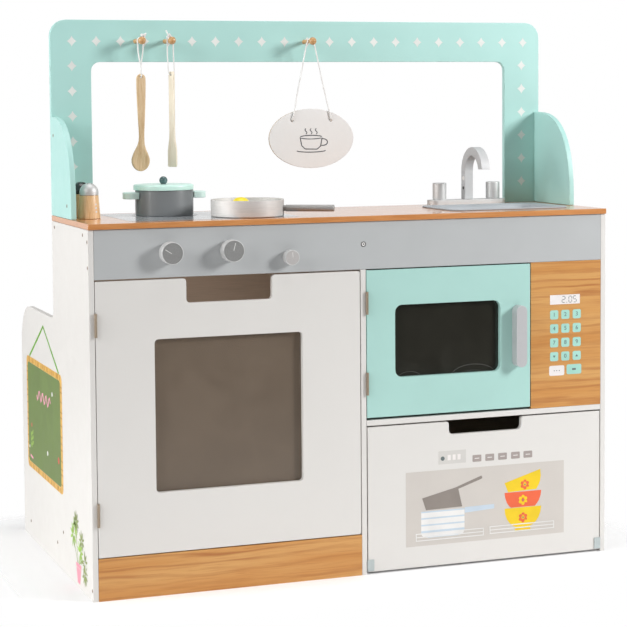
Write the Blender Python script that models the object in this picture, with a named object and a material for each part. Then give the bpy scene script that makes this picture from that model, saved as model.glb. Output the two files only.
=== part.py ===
"""A double-sided wooden toy kitchen, built board by board.

Metres, +Z up, the kitchen's front towards -Y. The origin is on the floor, under the middle of the toy.
"""

from math import cos, pi, radians, sin, tau

import bmesh
import bpy
from mathutils import Vector

# Driving dimensions
WIDTH = 0.900
SIDE_DEPTH = 0.526
CABINET_DEPTH = 0.255
COUNTER_TOP = 0.590
TOTAL_HEIGHT = 0.914
SHOULDER_HEIGHT = 0.417
BOARD = 0.009
GAP = 0.0003
PIVOT, PIVOT_HOLE = 0.0032, 0.0035
PIN, PIN_HOLE = 0.0021, 0.0024

# Depths are measured from the kitchen's front face, then moved to the frame's own origin
KNOB_LENGTH = 0.022
FRONT = (KNOB_LENGTH - SIDE_DEPTH) / 2
HALF = WIDTH / 2
INNER = HALF - BOARD
REST = INNER - GAP
COUNTER_UNDER = COUNTER_TOP - BOARD
BACK_PANEL = CABINET_DEPTH - BOARD
CARCASS_TOP = COUNTER_UNDER - GAP

PARTITION_LEFT = 0.001
PARTITION_RIGHT = PARTITION_LEFT + BOARD
FASCIA_BOTTOM = 0.503
KICK_TOP = 0.067
SHELF_TOP = 0.255
PANEL_LEFT = 0.3087

# Doors
OVEN_DOOR = (-0.4400, 0.0685, -0.0004, 0.5005)
OVEN_WINDOW = (-0.3458, 0.1644, -0.1002, 0.4067)
OVEN_NOTCH = (-0.2932, 0.4618, -0.1510)
OVEN_HINGES = (0.1360, 0.4328)
MICROWAVE_DOOR = (0.0112, 0.2590, 0.3073, 0.5010)
MICROWAVE_WINDOW = (0.0614, 0.3230, 0.2519, 0.4422)
MICROWAVE_HINGES = (0.3155, 0.4478)
FLAP = (0.0118, 0.0040, 0.4392, 0.2435)
FLAP_NOTCH = (0.1570, 0.2217, 0.2910)
FLAP_PIVOT = (0.0040, 0.0125)
PANE = 0.002
HINGE_HEIGHT = 0.037
HINGE_RADIUS = 0.0022
LEAF = 0.0006
LEAF_DEPTH = 0.0080

# Serving frame and wings
FRAME_OPENING = (0.381, 0.844)
FRAME_CORNER = 0.027
OPENING_CORNER = 0.015
WING_REACH = 0.1347
WING_HEIGHT = 0.1632
WING_FULLNESS = 2.65

# Bench at the back
LID_PIVOT = (0.2890, 0.1905)
LID = (0.2585, 0.4900)
APRON_FRONT = 0.4650

# Things on the pegs
PEG_X = (-0.3044, -0.2529, -0.0030)
PEG_HEIGHT = 0.8785
BALL_DEPTH = 0.2040
SHANK = 0.0033
HANG_DEPTH = 0.2145
CORD_RADIUS = 0.0012
SIGN_CENTRE = 0.7120
SIGN_HOLES = (0.0356, 0.7428)

# Things on the counter
SINK = (0.1865, 0.0450, 0.4090, 0.1905)
FAUCET = (0.2911, 0.2165)
BASE_HEIGHT = 0.0095
POT = (-0.2792, 0.1700)
PAN = (-0.1640, 0.0820)
PAN_RADIUS = 0.0598
PAN_HANDLE_TURN = radians(-30)
SALT = (-0.4146, 0.1350)
PEPPER = (-0.4161, 0.1850)
SPATULA_TURN = radians(15)
BIG_KNOBS = ((-0.3208, 0.5420), (-0.2211, 0.5423))
SMALL_KNOB = (-0.1220, 0.5280)


# Materials ------------------------------------------------------------------------------------


def finish(name, colour, roughness=0.5, metallic=0.0, alpha=1.0):
    mat = bpy.data.materials.get(name) or bpy.data.materials.new(name)
    mat.use_nodes = True
    shader = mat.node_tree.nodes["Principled BSDF"]
    shader.inputs["Base Color"].default_value = (*colour, 1.0)
    shader.inputs["Roughness"].default_value = roughness
    shader.inputs["Metallic"].default_value = metallic
    shader.inputs["Alpha"].default_value = alpha
    return mat


def white_board():
    return finish("white_board", (0.86, 0.84, 0.81), 0.5)


def grey_board():
    return finish("grey_board", (0.50, 0.51, 0.52), 0.5)


def mint_board():
    return finish("mint_board", (0.43, 0.71, 0.65), 0.5)


def oak_board():
    return finish("oak_board", (0.64, 0.32, 0.11), 0.45)


def counter_board():
    return finish("counter_board", (0.60, 0.34, 0.17), 0.25)


def raw_board():
    return finish("raw_board", (0.30, 0.19, 0.12), 0.7)


def light_wood():
    return finish("light_wood", (0.72, 0.50, 0.28), 0.6)


def silver_paint():
    return finish("silver_paint", (0.62, 0.62, 0.61), 0.35, 0.6)


def dark_paint():
    return finish("dark_paint", (0.14, 0.15, 0.16), 0.45, 0.2)


def black_paint():
    return finish("black_paint", (0.02, 0.02, 0.02), 0.4)


def hinge_metal():
    return finish("hinge_metal", (0.32, 0.24, 0.18), 0.4, 0.9)


def clear_pane():
    return finish("clear_pane", (0.60, 0.55, 0.50), 0.1, 0.0, 0.3)


def smoked_pane():
    return finish("smoked_pane", (0.02, 0.02, 0.02), 0.1, 0.0, 0.95)


def frosted_plastic():
    return finish("frosted_plastic", (0.50, 0.56, 0.55), 0.4, 0.0, 0.8)


def sink_plastic():
    return finish("sink_plastic", (0.42, 0.47, 0.52), 0.35)


def yolk():
    return finish("egg", (0.85, 0.75, 0.05), 0.5)


def cotton():
    return finish("cotton", (0.85, 0.85, 0.83), 0.9)


def sign_board():
    return finish("sign_board", (0.80, 0.78, 0.75), 0.6)


# Outlines -------------------------------------------------------------------------------------


def arc(centre, radii, start, end, steps):
    """Points on an ellipse's arc, both ends included. Angles in degrees."""
    rx, rz = radii if isinstance(radii, tuple) else (radii, radii)
    angles = [radians(start + (end - start) * i / steps) for i in range(steps + 1)]
    return [(centre[0] + rx * cos(a), centre[1] + rz * sin(a)) for a in angles]


def circle(centre, radius, steps=16):
    return arc(centre, radius, 0, 360, steps)[:-1]


def rounded(box, radius, steps=3):
    """A rectangle (left, low, right, high) with round corners."""
    left, low, right, high = box
    points = arc((right - radius, high - radius), radius, 0, 90, steps)
    points += arc((left + radius, high - radius), radius, 90, 180, steps)
    points += arc((left + radius, low + radius), radius, 180, 270, steps)
    points += arc((right - radius, low + radius), radius, 270, 360, steps)
    return points


def handle_notch(notch, top, outer=0.005, inner=0.006):
    """The hand hole in a door's top edge, from right to left."""
    left, low, right = notch
    points = arc((right + outer, top - outer), outer, 90, 180, 3)
    points += arc((right - inner, low + inner), inner, 0, -90, 3)
    points += arc((left + inner, low + inner), inner, 270, 180, 3)
    points += arc((left - outer, top - outer), outer, 0, 90, 3)
    return points


# Pieces ---------------------------------------------------------------------------------------


def board(name, outline, middle, rotation, mat, holes=(), thickness=BOARD):
    """A flat piece cut to an outline, as a curve with a depth."""
    shape = bpy.data.curves.new(name, "CURVE")
    shape.dimensions = "2D"
    shape.fill_mode = "BOTH"
    shape.extrude = thickness / 2
    for loop in (outline, *holes):
        spline = shape.splines.new("POLY")
        spline.points.add(len(loop) - 1)
        for point, (u, v) in zip(spline.points, loop):
            point.co = (u, v, 0, 1)
        spline.use_cyclic_u = True
    piece = bpy.data.objects.new(name, shape)
    piece.location = middle
    piece.rotation_euler = rotation
    bpy.context.collection.objects.link(piece)
    shape.materials.append(mat)
    return piece


def facing_board(name, outline, depth, mat, holes=(), thickness=BOARD):
    """A board that faces the front. Its outline is (x, z), and depth is its front face's."""
    middle = (0, FRONT + depth + thickness / 2, 0)
    return board(name, outline, middle, (pi / 2, 0, 0), mat, holes, thickness)


def side_board(name, outline, left, mat, holes=(), thickness=BOARD):
    """A board that faces sideways. Its outline is (depth, z), and left is its left face's x."""
    middle = (left + thickness / 2, FRONT, 0)
    return board(name, outline, middle, (pi / 2, 0, pi / 2), mat, holes, thickness)


def level_board(name, outline, low, mat, holes=(), thickness=BOARD):
    """A board that lies flat. Its outline is (x, depth), and low is its underside's z."""
    middle = (0, FRONT, low + thickness / 2)
    return board(name, outline, middle, (0, 0, 0), mat, holes, thickness)


def rectangle(left, low, right, high):
    return [(left, low), (right, low), (right, high), (left, high)]


def mesh_piece(name, bm, location, rotation, mat, smooth=True):
    bmesh.ops.remove_doubles(bm, verts=bm.verts, dist=1e-6)
    bmesh.ops.recalc_face_normals(bm, faces=bm.faces)
    mesh = bpy.data.meshes.new(name)
    bm.to_mesh(mesh)
    bm.free()
    if smooth:
        mesh.shade_smooth()
        mesh.set_sharp_from_angle(angle=radians(40))
    mesh.materials.append(mat)
    piece = bpy.data.objects.new(name, mesh)
    piece.location = location
    piece.rotation_euler = rotation
    bpy.context.collection.objects.link(piece)
    return piece


def turned(name, profile, location, rotation, mat, steps=24):
    """A round piece: its profile (radius, height) spun about its own Z axis."""
    bm = bmesh.new()
    verts = [bm.verts.new((r, 0, z)) for r, z in profile]
    edges = [bm.edges.new(pair) for pair in zip(verts, verts[1:])]
    bmesh.ops.spin(
        bm,
        geom=verts + edges,
        cent=(0, 0, 0),
        axis=(0, 0, 1),
        angle=tau,
        steps=steps,
        use_merge=True,
    )
    return mesh_piece(name, bm, location, rotation, mat)


def join(piece, other):
    """Makes one body of two overlapping pieces."""
    union = piece.modifiers.new("union", "BOOLEAN")
    union.operation = "UNION"
    union.solver = "EXACT"
    union.object = other
    other.hide_render = True
    other.display_type = "WIRE"
    other.hide_set(True)
    return piece


def block(name, low, high, mat):
    """A plain rectangular block between two corners, in depths from the front face."""
    bm = bmesh.new()
    bmesh.ops.create_cube(bm, size=1)
    size = [b - a for a, b in zip(low, high)]
    bmesh.ops.scale(bm, vec=size, verts=bm.verts)
    middle = [(a + b) / 2 for a, b in zip(low, high)]
    middle[1] += FRONT
    return mesh_piece(name, bm, middle, (0, 0, 0), mat, smooth=False)


def hang(joint, position, *pieces):
    """Puts the pieces of a moving body under an empty on the body's joint."""
    pivot = bpy.data.objects.new(joint, None)
    pivot.location = (position[0], FRONT + position[1], position[2])
    pivot.empty_display_size = 0.02
    bpy.context.collection.objects.link(pivot)
    for piece in pieces:
        piece.location = Vector(piece.location) - pivot.location
        piece.parent = pivot


# Carcass --------------------------------------------------------------------------------------


def side_outline():
    """The tall front part, then the low shoulder behind it with its round corner."""
    corner = 0.070
    fillet = 0.014
    step = CABINET_DEPTH + fillet
    points = [(0, 0), (SIDE_DEPTH, 0)]
    points += arc((SIDE_DEPTH - corner, SHOULDER_HEIGHT - corner), corner, 0, 90, 7)
    points += arc((step, SHOULDER_HEIGHT + fillet), fillet, 270, 180, 3)
    points += [(CABINET_DEPTH, CARCASS_TOP), (0, CARCASS_TOP)]
    return points


def make_sides():
    lid_hole = circle(LID_PIVOT, PIVOT_HOLE, 12)
    flap_hole = circle(FLAP_PIVOT, PIN_HOLE, 12)
    outline = side_outline()
    side_board("left_side_panel", outline, -HALF, white_board(), [lid_hole])
    side_board("right_side_panel", outline, INNER, white_board(), [lid_hole, flap_hole])


def make_partition():
    """Its front edge shows up to the fascia, which it carries in a notch."""
    back = BACK_PANEL - GAP
    notch = BOARD + GAP
    outline = [(0, 0), (back, 0), (back, CARCASS_TOP), (notch, CARCASS_TOP)]
    outline += [(notch, FASCIA_BOTTOM - GAP), (0, FASCIA_BOTTOM - GAP)]
    hole = circle(FLAP_PIVOT, PIN_HOLE, 12)
    side_board("partition", outline, PARTITION_LEFT, white_board(), [hole])


def make_countertop():
    left, front, right, back = SINK
    inset = 0.014
    outline = rectangle(-HALF, -0.003, HALF, CABINET_DEPTH)
    hole = rounded((left + inset, front + inset, right - inset, back - inset), 0.016)
    level_board("countertop", outline, COUNTER_UNDER, counter_board(), [hole])


def make_fascia():
    outline = rectangle(-REST, FASCIA_BOTTOM, REST, CARCASS_TOP)
    holes = [circle(place, PIVOT_HOLE, 12) for place in (*BIG_KNOBS, SMALL_KNOB)]
    facing_board("control_fascia", outline, 0, grey_board(), holes)


def make_cabinet_boards():
    left_bay = (-REST, PARTITION_LEFT - GAP)
    right_bay = (PARTITION_RIGHT + GAP, REST)
    back = BACK_PANEL - GAP
    kick = rectangle(left_bay[0], 0, left_bay[1], KICK_TOP)
    facing_board("kick_panel", kick, 0, oak_board())
    floor = rectangle(left_bay[0], BOARD + GAP, left_bay[1], back)
    level_board("oven_floor", floor, KICK_TOP - BOARD - GAP, white_board())
    shelf = rectangle(right_bay[0], 0, right_bay[1], back)
    level_board("microwave_shelf", shelf, SHELF_TOP - BOARD, white_board())
    panel = rectangle(PANEL_LEFT, SHELF_TOP + GAP, REST, FASCIA_BOTTOM - GAP)
    facing_board("microwave_control_panel", panel, 0, oak_board())
    panel = rectangle(-REST, 0.004, REST, CARCASS_TOP)
    facing_board("kitchen_back_panel", panel, BACK_PANEL, raw_board())


def make_serving_frame():
    """A frame with two legs that stand on the counter."""
    foot = COUNTER_TOP + GAP
    half, top = FRAME_OPENING
    points = [(-HALF, foot), (-half, foot)]
    inner = (-half + OPENING_CORNER, top - OPENING_CORNER)
    points += arc(inner, OPENING_CORNER, 180, 90, 4)
    points += arc((-inner[0], inner[1]), OPENING_CORNER, 90, 0, 4)
    points += [(half, foot), (HALF, foot)]
    outer = (HALF - FRAME_CORNER, TOTAL_HEIGHT - FRAME_CORNER)
    points += arc(outer, FRAME_CORNER, 0, 90, 5)
    points += arc((-outer[0], outer[1]), FRAME_CORNER, 90, 180, 5)
    facing_board("serving_frame", points, BACK_PANEL, mint_board())


def make_wings():
    """A quarter of a full-bellied ellipse on the counter at each end."""
    back = BACK_PANEL - GAP
    foot = COUNTER_TOP + GAP
    outline = [(back, foot)]
    steps = 14
    for i in range(steps + 1):
        turn = pi / 2 * i / steps
        reach, rise = abs(sin(turn)) ** (2 / WING_FULLNESS), abs(cos(turn)) ** (2 / WING_FULLNESS)
        outline.append((back - WING_REACH * reach, foot + WING_HEIGHT * rise))
    side_board("left_wing", outline, -HALF, mint_board())
    side_board("right_wing", outline, INNER, mint_board())


def make_bench():
    """The bench at the back: an apron, and a lid that turns on two dowels."""
    apron = rectangle(-REST, 0.004, REST, LID_PIVOT[1] - BOARD / 2 - GAP)
    facing_board("bench_apron", apron, APRON_FRONT, white_board())
    half = INNER - 0.0010
    low = LID_PIVOT[1] - BOARD / 2
    lid = block("bench_lid", (-half, LID[0], low), (half, LID[1], low + BOARD), white_board())
    reach = HALF - 0.0015
    profile = [(0, -reach), (PIVOT, -reach), (PIVOT, reach), (0, reach)]
    place = (0, FRONT + LID_PIVOT[0], LID_PIVOT[1])
    dowel = turned("bench_dowel", profile, place, (0, pi / 2, 0), white_board(), 12)
    join(lid, dowel)
    hang("bench_lid_hinge", (0, *LID_PIVOT), lid, dowel)


# Hinges ---------------------------------------------------------------------------------------


def hinge_axis(edge):
    """A butt hinge's pin stands in front of the joint between the frame and the door."""
    return edge + 0.0012, -HINGE_RADIUS - GAP


def knuckle(name, axis, low, high, mat, bore=0.0):
    r = HINGE_RADIUS
    profile = [(bore, low), (r, low), (r, high), (bore, high)]
    if bore:
        profile.append(profile[0])
    return turned(name, profile, (axis[0], FRONT + axis[1], 0), (0, 0, 0), mat, 16)


def frame_leaf(name, edge, middle):
    """The fixed leaf, its two end knuckles and the pin between them."""
    mat = hinge_metal()
    axis = hinge_axis(edge)
    low, high = middle - HINGE_HEIGHT / 2, middle + HINGE_HEIGHT / 2
    third = HINGE_HEIGHT / 3
    r, pin = HINGE_RADIUS, 0.0009
    profile = [(0, low), (r, low), (r, low + third), (pin, low + third)]
    profile += [(pin, high - third), (r, high - third), (r, high), (0, high)]
    barrel = turned(name, profile, (axis[0], FRONT + axis[1], 0), (0, 0, 0), mat, 16)
    left = edge + GAP
    for part, (foot, head) in enumerate(((low, low + third), (high - third, high))):
        arm = block(f"{name}_arm{part}", (left, axis[1], foot), (left + LEAF, 0.001, head), mat)
        join(barrel, arm)
    plate = block(f"{name}_plate", (left, 0.0005, low), (left + LEAF, LEAF_DEPTH, high), mat)
    return join(barrel, plate)


def door_leaf(name, edge, middle):
    """The door's leaf, with the middle knuckle that turns on the pin."""
    mat = hinge_metal()
    axis = hinge_axis(edge)
    half = HINGE_HEIGHT / 6 - GAP
    barrel = knuckle(name, axis, middle - half, middle + half, mat, bore=0.0013)
    left = edge + 2 * GAP + LEAF
    low, high = middle - HINGE_HEIGHT / 2, middle + HINGE_HEIGHT / 2
    arm = block(
        f"{name}_arm", (left, axis[1] + 0.0016, middle - half), (left + LEAF, 0.001, middle + half), mat
    )
    plate = block(f"{name}_plate", (left, 0.0005, low), (left + LEAF, LEAF_DEPTH, high), mat)
    join(barrel, arm)
    return join(barrel, plate), arm, plate


def mortised_edge(door, edge, hinges):
    """The door's left edge from top to bottom, cut back where the leaves lie."""
    left = door[0]
    deep = edge + 3 * GAP + 2 * LEAF
    points = []
    for middle in sorted(hinges, reverse=True):
        high = middle + HINGE_HEIGHT / 2 + GAP
        low = middle - HINGE_HEIGHT / 2 - GAP
        points += [(left, high), (deep, high), (deep, low), (left, low)]
    return points


# Doors ----------------------------------------------------------------------------------------


def make_oven_door():
    left, low, right, high = OVEN_DOOR
    edge = -INNER
    outline = [(left, low), (right - 0.002, low), (right, low + 0.002)]
    outline += arc((right - 0.003, high - 0.003), 0.003, 0, 90, 2)
    outline += handle_notch(OVEN_NOTCH, high)
    outline += [(left, high)]
    outline += mortised_edge(OVEN_DOOR, edge, OVEN_HINGES)
    window = rounded(OVEN_WINDOW, 0.006)
    door = facing_board("oven_door", outline, 0, white_board(), [window])
    margin = 0.010
    a, b, c, d = OVEN_WINDOW
    glass = rounded((a - margin, b - margin, c + margin, d + margin), 0.006)
    pane = facing_board("oven_window", glass, BOARD + GAP, clear_pane(), (), PANE)
    leaves = []
    for word, middle in zip(("lower", "upper"), OVEN_HINGES):
        frame_leaf(f"oven_hinge_{word}_frame_leaf", edge, middle)
        leaves += door_leaf(f"oven_hinge_{word}_door_leaf", edge, middle)
    hang("oven_door_hinge", (*hinge_axis(edge), 0), door, pane, *leaves)


def make_microwave_door():
    left, low, right, high = MICROWAVE_DOOR
    edge = PARTITION_RIGHT
    outline = [(left, low), (right, low), (right, high), (left, high)]
    outline += mortised_edge(MICROWAVE_DOOR, edge, MICROWAVE_HINGES)
    window = rounded(MICROWAVE_WINDOW, 0.012, 4)
    door = facing_board("microwave_door", outline, 0, mint_board(), [window])
    margin = 0.010
    a, b, c, d = MICROWAVE_WINDOW
    glass = rounded((a - margin, b - margin, c + margin, d + margin), 0.012)
    pane = facing_board("microwave_window", glass, BOARD + GAP, smoked_pane(), (), PANE)
    grip = rounded((0.2733, 0.3295, 0.2927, 0.4330), 0.0097, 6)
    reach = 0.018
    handle = facing_board("microwave_handle", grip, -reach, silver_paint(), (), reach - GAP)
    leaves = []
    for word, middle in zip(("lower", "upper"), MICROWAVE_HINGES):
        frame_leaf(f"microwave_hinge_{word}_frame_leaf", edge, middle)
        leaves += door_leaf(f"microwave_hinge_{word}_door_leaf", edge, middle)
    hang("microwave_door_hinge", (*hinge_axis(edge), 0), door, pane, handle, *leaves)


def flap_pivot(name, side, wall):
    """A plastic corner piece: a plate on the flap's face, a cheek at its end and the pivot pin."""
    mat = frosted_plastic()
    low, high = 0.0055, 0.0245
    face = (-0.0018, -GAP)
    near, far = wall - side * 0.0004, wall - side * 0.0116
    thin = wall - side * 0.0014
    plate = block(name, (min(near, far), face[0], low), (max(near, far), face[1], high), mat)
    cheek_low = (min(near, thin), face[0], low)
    cheek_high = (max(near, thin), BOARD, high)
    cheek = block(f"{name}_cheek", cheek_low, cheek_high, mat)
    profile = [(0, 0), (PIN, 0), (PIN, 0.0060), (0, 0.0060)]
    place = (thin + side * 0.0002, FRONT + FLAP_PIVOT[0], FLAP_PIVOT[1])
    pin = turned(f"{name}_pin", profile, place, (0, side * pi / 2, 0), mat, 12)
    join(plate, cheek)
    join(plate, pin)
    return plate, cheek, pin


def make_dishwasher_flap():
    left, low, right, high = FLAP
    outline = [(left, low), (right, low), (right, high)]
    outline += handle_notch(FLAP_NOTCH, high, 0.004, 0.008)
    outline += [(left, high)]
    flap = facing_board("dishwasher_door", outline, 0, white_board())
    corners = flap_pivot("dishwasher_pivot_left", -1, PARTITION_RIGHT)
    corners += flap_pivot("dishwasher_pivot_right", 1, INNER)
    hang("dishwasher_door_hinge", (0, *FLAP_PIVOT), flap, *corners)


# Knobs and sink -------------------------------------------------------------------------------


def knob_profile(radius, length):
    """Front face at +Z, a rim, a shaft through the fascia and its washer behind."""
    shaft, behind = PIVOT, -(BOARD + 2 * GAP)
    profile = [(0, behind - 0.0020), (0.0060, behind - 0.0020), (0.0060, behind), (shaft, behind)]
    profile += [(shaft, 0.0005), (radius * 0.92, 0.0005), (radius * 0.92, 0.0035)]
    profile += [(radius, 0.0045), (radius, length - 0.0015), (radius - 0.0015, length), (0, length)]
    return profile


def make_knobs():
    sizes = ((0.0175, KNOB_LENGTH), (0.0175, KNOB_LENGTH), (0.0122, 0.017))
    names = ("left", "middle", "right")
    for name, place, size in zip(names, (*BIG_KNOBS, SMALL_KNOB), sizes):
        x, z = place
        profile = knob_profile(*size)
        spot = (x, FRONT, z)
        knob = turned(f"knob_{name}", profile, spot, (pi / 2, 0, 0), silver_paint(), 28)
        hang(f"knob_{name}_turn", (x, 0, z), knob)


def make_sink():
    """A pressed basin: a thin rim on the counter and walls that drop through its cut-out."""
    left, front, right, back = SINK
    rim_low, rim_high = COUNTER_TOP + GAP, COUNTER_TOP + 0.0025
    depth = 0.042
    rings = (
        (0.0, rim_low, 0.022),
        (0.0, rim_high, 0.022),
        (0.018, rim_high - 0.0003, 0.014),
        (0.026, rim_high - depth + 0.006, 0.012),
        (0.034, rim_high - depth, 0.008),
    )
    under = (
        (0.0325, rim_high - depth - 0.0015, 0.008),
        (0.0245, rim_high - depth + 0.0052, 0.012),
        (0.0165, rim_low, 0.014),
    )
    bm = bmesh.new()

    def ring(inset, height, radius):
        box = (left + inset, front + inset, right - inset, back - inset)
        return [bm.verts.new((u, v, height)) for u, v in rounded(box, radius, 4)]

    def skin(first, second):
        count = len(first)
        for i in range(count):
            j = (i + 1) % count
            bm.faces.new((first[i], first[j], second[j], second[i]))

    loops = [ring(*values) for values in rings]
    below = [ring(*values) for values in under]
    for first, second in zip(loops, loops[1:]):
        skin(first, second)
    bm.faces.new(loops[-1])
    for first, second in zip(below, below[1:]):
        skin(first, second)
    skin(below[-1], loops[0])
    bm.faces.new(below[0])
    mesh_piece("sink_basin", bm, (0, FRONT, 0), (0, 0, 0), sink_plastic())


def make_faucet():
    x, y = FAUCET
    foot = COUNTER_TOP + GAP
    half, deep = 0.0745, 0.015
    plate = rounded((x - half, y - deep, x + half, y + deep), deep - 0.0002, 6)
    taps = (x - 0.0520, x + 0.0520)
    holes = [circle((tap, y), PIVOT_HOLE, 12) for tap in taps]
    level_board("faucet_base", plate, foot, silver_paint(), holes, BASE_HEIGHT)
    top = foot + BASE_HEIGHT + GAP
    outer, inner, rise = 0.0425, 0.0268, 0.0505
    back = y + 0.0078
    centre = (back - outer, top + rise)
    outline = [(back, top)] + arc(centre, outer, 0, 174, 14)
    outline += arc(centre, inner, 171, 0, 12) + [(back - outer + inner, top)]
    width = 0.0158
    side_board("faucet_spout", outline, x + 0.0018 - width / 2, silver_paint(), (), width)
    radius, high, round_off = 0.0123, 0.0298, 0.0013
    profile = [(0, -BASE_HEIGHT), (PIVOT, -BASE_HEIGHT), (PIVOT, 0), (radius, 0)]
    profile += [(radius, high - round_off), (radius - round_off, high), (0, high)]
    for name, tap in zip(("left", "right"), taps):
        spot = (tap, FRONT + y, top)
        knob = turned(f"tap_{name}", profile, spot, (0, 0, 0), silver_paint(), 24)
        hang(f"tap_{name}_turn", (tap, y, top), knob)


# Pegs and what hangs on them ------------------------------------------------------------------


def ball_points(radius, centre, start, steps):
    """A ball's outline from an angle near its back to its front pole."""
    angles = [radians(start + (90 - start) * i / steps) for i in range(steps + 1)]
    points = [(radius * cos(a), centre + radius * sin(a)) for a in angles]
    return points[:-1] + [(0, centre + radius)]


def make_pegs():
    """A dowel with a ball on its end. Its profile runs from the frame towards the front."""
    radius = 0.0066
    length = BACK_PANEL - GAP - BALL_DEPTH
    profile = [(0, 0), (SHANK, 0)] + ball_points(radius, length, -60, 9)
    for name, x in zip(("left", "middle", "right"), PEG_X):
        place = (x, FRONT + BACK_PANEL - GAP, PEG_HEIGHT)
        turned(f"peg_{name}", profile, place, (pi / 2, 0, 0), light_wood(), 16)


def smooth_route(points, step=0.0055):
    """Points along a smooth curve through the route's own points, a little over two diameters apart."""
    route = [Vector(p) for p in points]
    route = [route[0] * 2 - route[1], *route, route[-1] * 2 - route[-2]]
    found = []
    for a, b, c, d in zip(route, route[1:], route[2:], route[3:]):
        pieces = max(1, round((c - b).length / step))
        for i in range(pieces):
            t = i / pieces
            found.append(
                0.5
                * (
                    2 * b
                    + (c - a) * t
                    + (2 * a - 5 * b + 4 * c - d) * t * t
                    + (3 * b - a - 3 * c + d) * t**3
                )
            )
    return found + [route[-2]]


def cord(name, points):
    shape = bpy.data.curves.new(name, "CURVE")
    shape.dimensions = "3D"
    shape.bevel_depth = CORD_RADIUS
    shape.bevel_resolution = 2
    shape.use_fill_caps = True
    route = smooth_route(points)
    spline = shape.splines.new("POLY")
    spline.points.add(len(route) - 1)
    for point, place in zip(spline.points, route):
        point.co = (place.x, place.y + FRONT, place.z, 1)
    piece = bpy.data.objects.new(name, shape)
    bpy.context.collection.objects.link(piece)
    shape.materials.append(cotton())
    return piece


def over_peg(x, start, end, steps=6):
    """Points round the top of a peg's shank, angles in degrees from +X."""
    reach = SHANK + CORD_RADIUS + 0.0004
    return [(u, HANG_DEPTH, v) for u, v in arc((x, PEG_HEIGHT), reach, start, end, steps)]


def through_hole(face, hole, rise=0.0035):
    """Across, height pairs that pass straight through a hole and turn up past both faces."""
    out, turn = face + 0.0030, face + 0.0005
    return [(out, hole + rise), (turn, hole + 0.0002), (-turn, hole + 0.0002), (-out, hole + rise)]


def spoon_route(x, hole):
    """From the knot beside the peg, down behind the handle, through its hole and up its front."""
    points = [(x + 0.0056, HANG_DEPTH, PEG_HEIGHT + 0.0040), (x + 0.0054, HANG_DEPTH, PEG_HEIGHT)]
    points += [(x + 0.0040, HANG_DEPTH + 0.001, PEG_HEIGHT - 0.020)]
    points += [(x + 0.0008, HANG_DEPTH + 0.0055, hole + 0.013)]
    points += [(x, HANG_DEPTH + v, w) for v, w in through_hole(0.0028, hole)]
    points += [(x - 0.0008, HANG_DEPTH - 0.0055, hole + 0.013)]
    points += [(x - 0.0040, HANG_DEPTH - 0.001, PEG_HEIGHT - 0.020)]
    return points + over_peg(x, 180, 82)


def spatula_route(x, hole):
    """The spatula hangs edge on, so its loop spreads to both sides of the handle."""
    points = [(x + 0.0056, HANG_DEPTH, PEG_HEIGHT + 0.0040), (x + 0.0054, HANG_DEPTH, PEG_HEIGHT)]
    points += [(x + 0.0052, HANG_DEPTH, PEG_HEIGHT - 0.020)]
    points += [(x + 0.0014 + u, HANG_DEPTH, w) for u, w in through_hole(0.0019, hole)]
    points += [(x - 0.0052, HANG_DEPTH, PEG_HEIGHT - 0.020)]
    return points + over_peg(x, 180, 82)


def sign_route(x):
    """From a knot behind the sign, through one hole, over the peg and back to the other hole."""
    reach, height = SIGN_HOLES
    side = [(reach, 0.0055, height - 0.0005), (reach, 0.0022, height), (reach, -0.0022, height)]
    side += [(reach - 0.0006, -0.0044, height + 0.003), (reach - 0.0030, -0.0046, height + 0.014)]
    side += [(reach - 0.0050, -0.0038, height + 0.022), (reach - 0.0100, -0.0010, height + 0.045)]
    side += [(0.0184, 0.0, height + 0.078), (0.0068, 0.0, PEG_HEIGHT - 0.004)]
    left = [(x - u, HANG_DEPTH + v, w) for u, v, w in side]
    right = [(x + u, HANG_DEPTH + v, w) for u, v, w in reversed(side)]
    return left + over_peg(x, 160, 20, 6) + right


def make_spoon():
    """Handle, neck and bowl, cut from one board."""
    x = PEG_X[0]
    top, hole = 0.8236, 0.8186
    half = [(0.0074, top - 0.0110), (0.0074, top - 0.024), (0.0058, top - 0.070)]
    half += [(0.0043, 0.7210), (0.0048, 0.7090), (0.0102, 0.6960)]
    half += arc((0, 0.6795), (0.0156, 0.0178), 20, -78, 7)
    lean = 0.0022
    left = [(-u - (lean if v < 0.7 else 0), v) for u, v in reversed(half)]
    right = [(u - (lean if v < 0.7 else 0), v) for u, v in half]
    crown = arc((0, top - 0.0074), 0.0074, 170, 10, 6)
    outline = [(x + u, v) for u, v in left + crown + right]
    holes = [circle((x, hole), 0.0022, 10)]
    thick = 0.0055
    spoon = facing_board("spoon", outline, HANG_DEPTH - thick / 2, light_wood(), holes, thick)
    loop = cord("spoon_cord", spoon_route(x, hole))
    hang("spoon_swing", (x, HANG_DEPTH, PEG_HEIGHT), spoon, loop)


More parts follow.
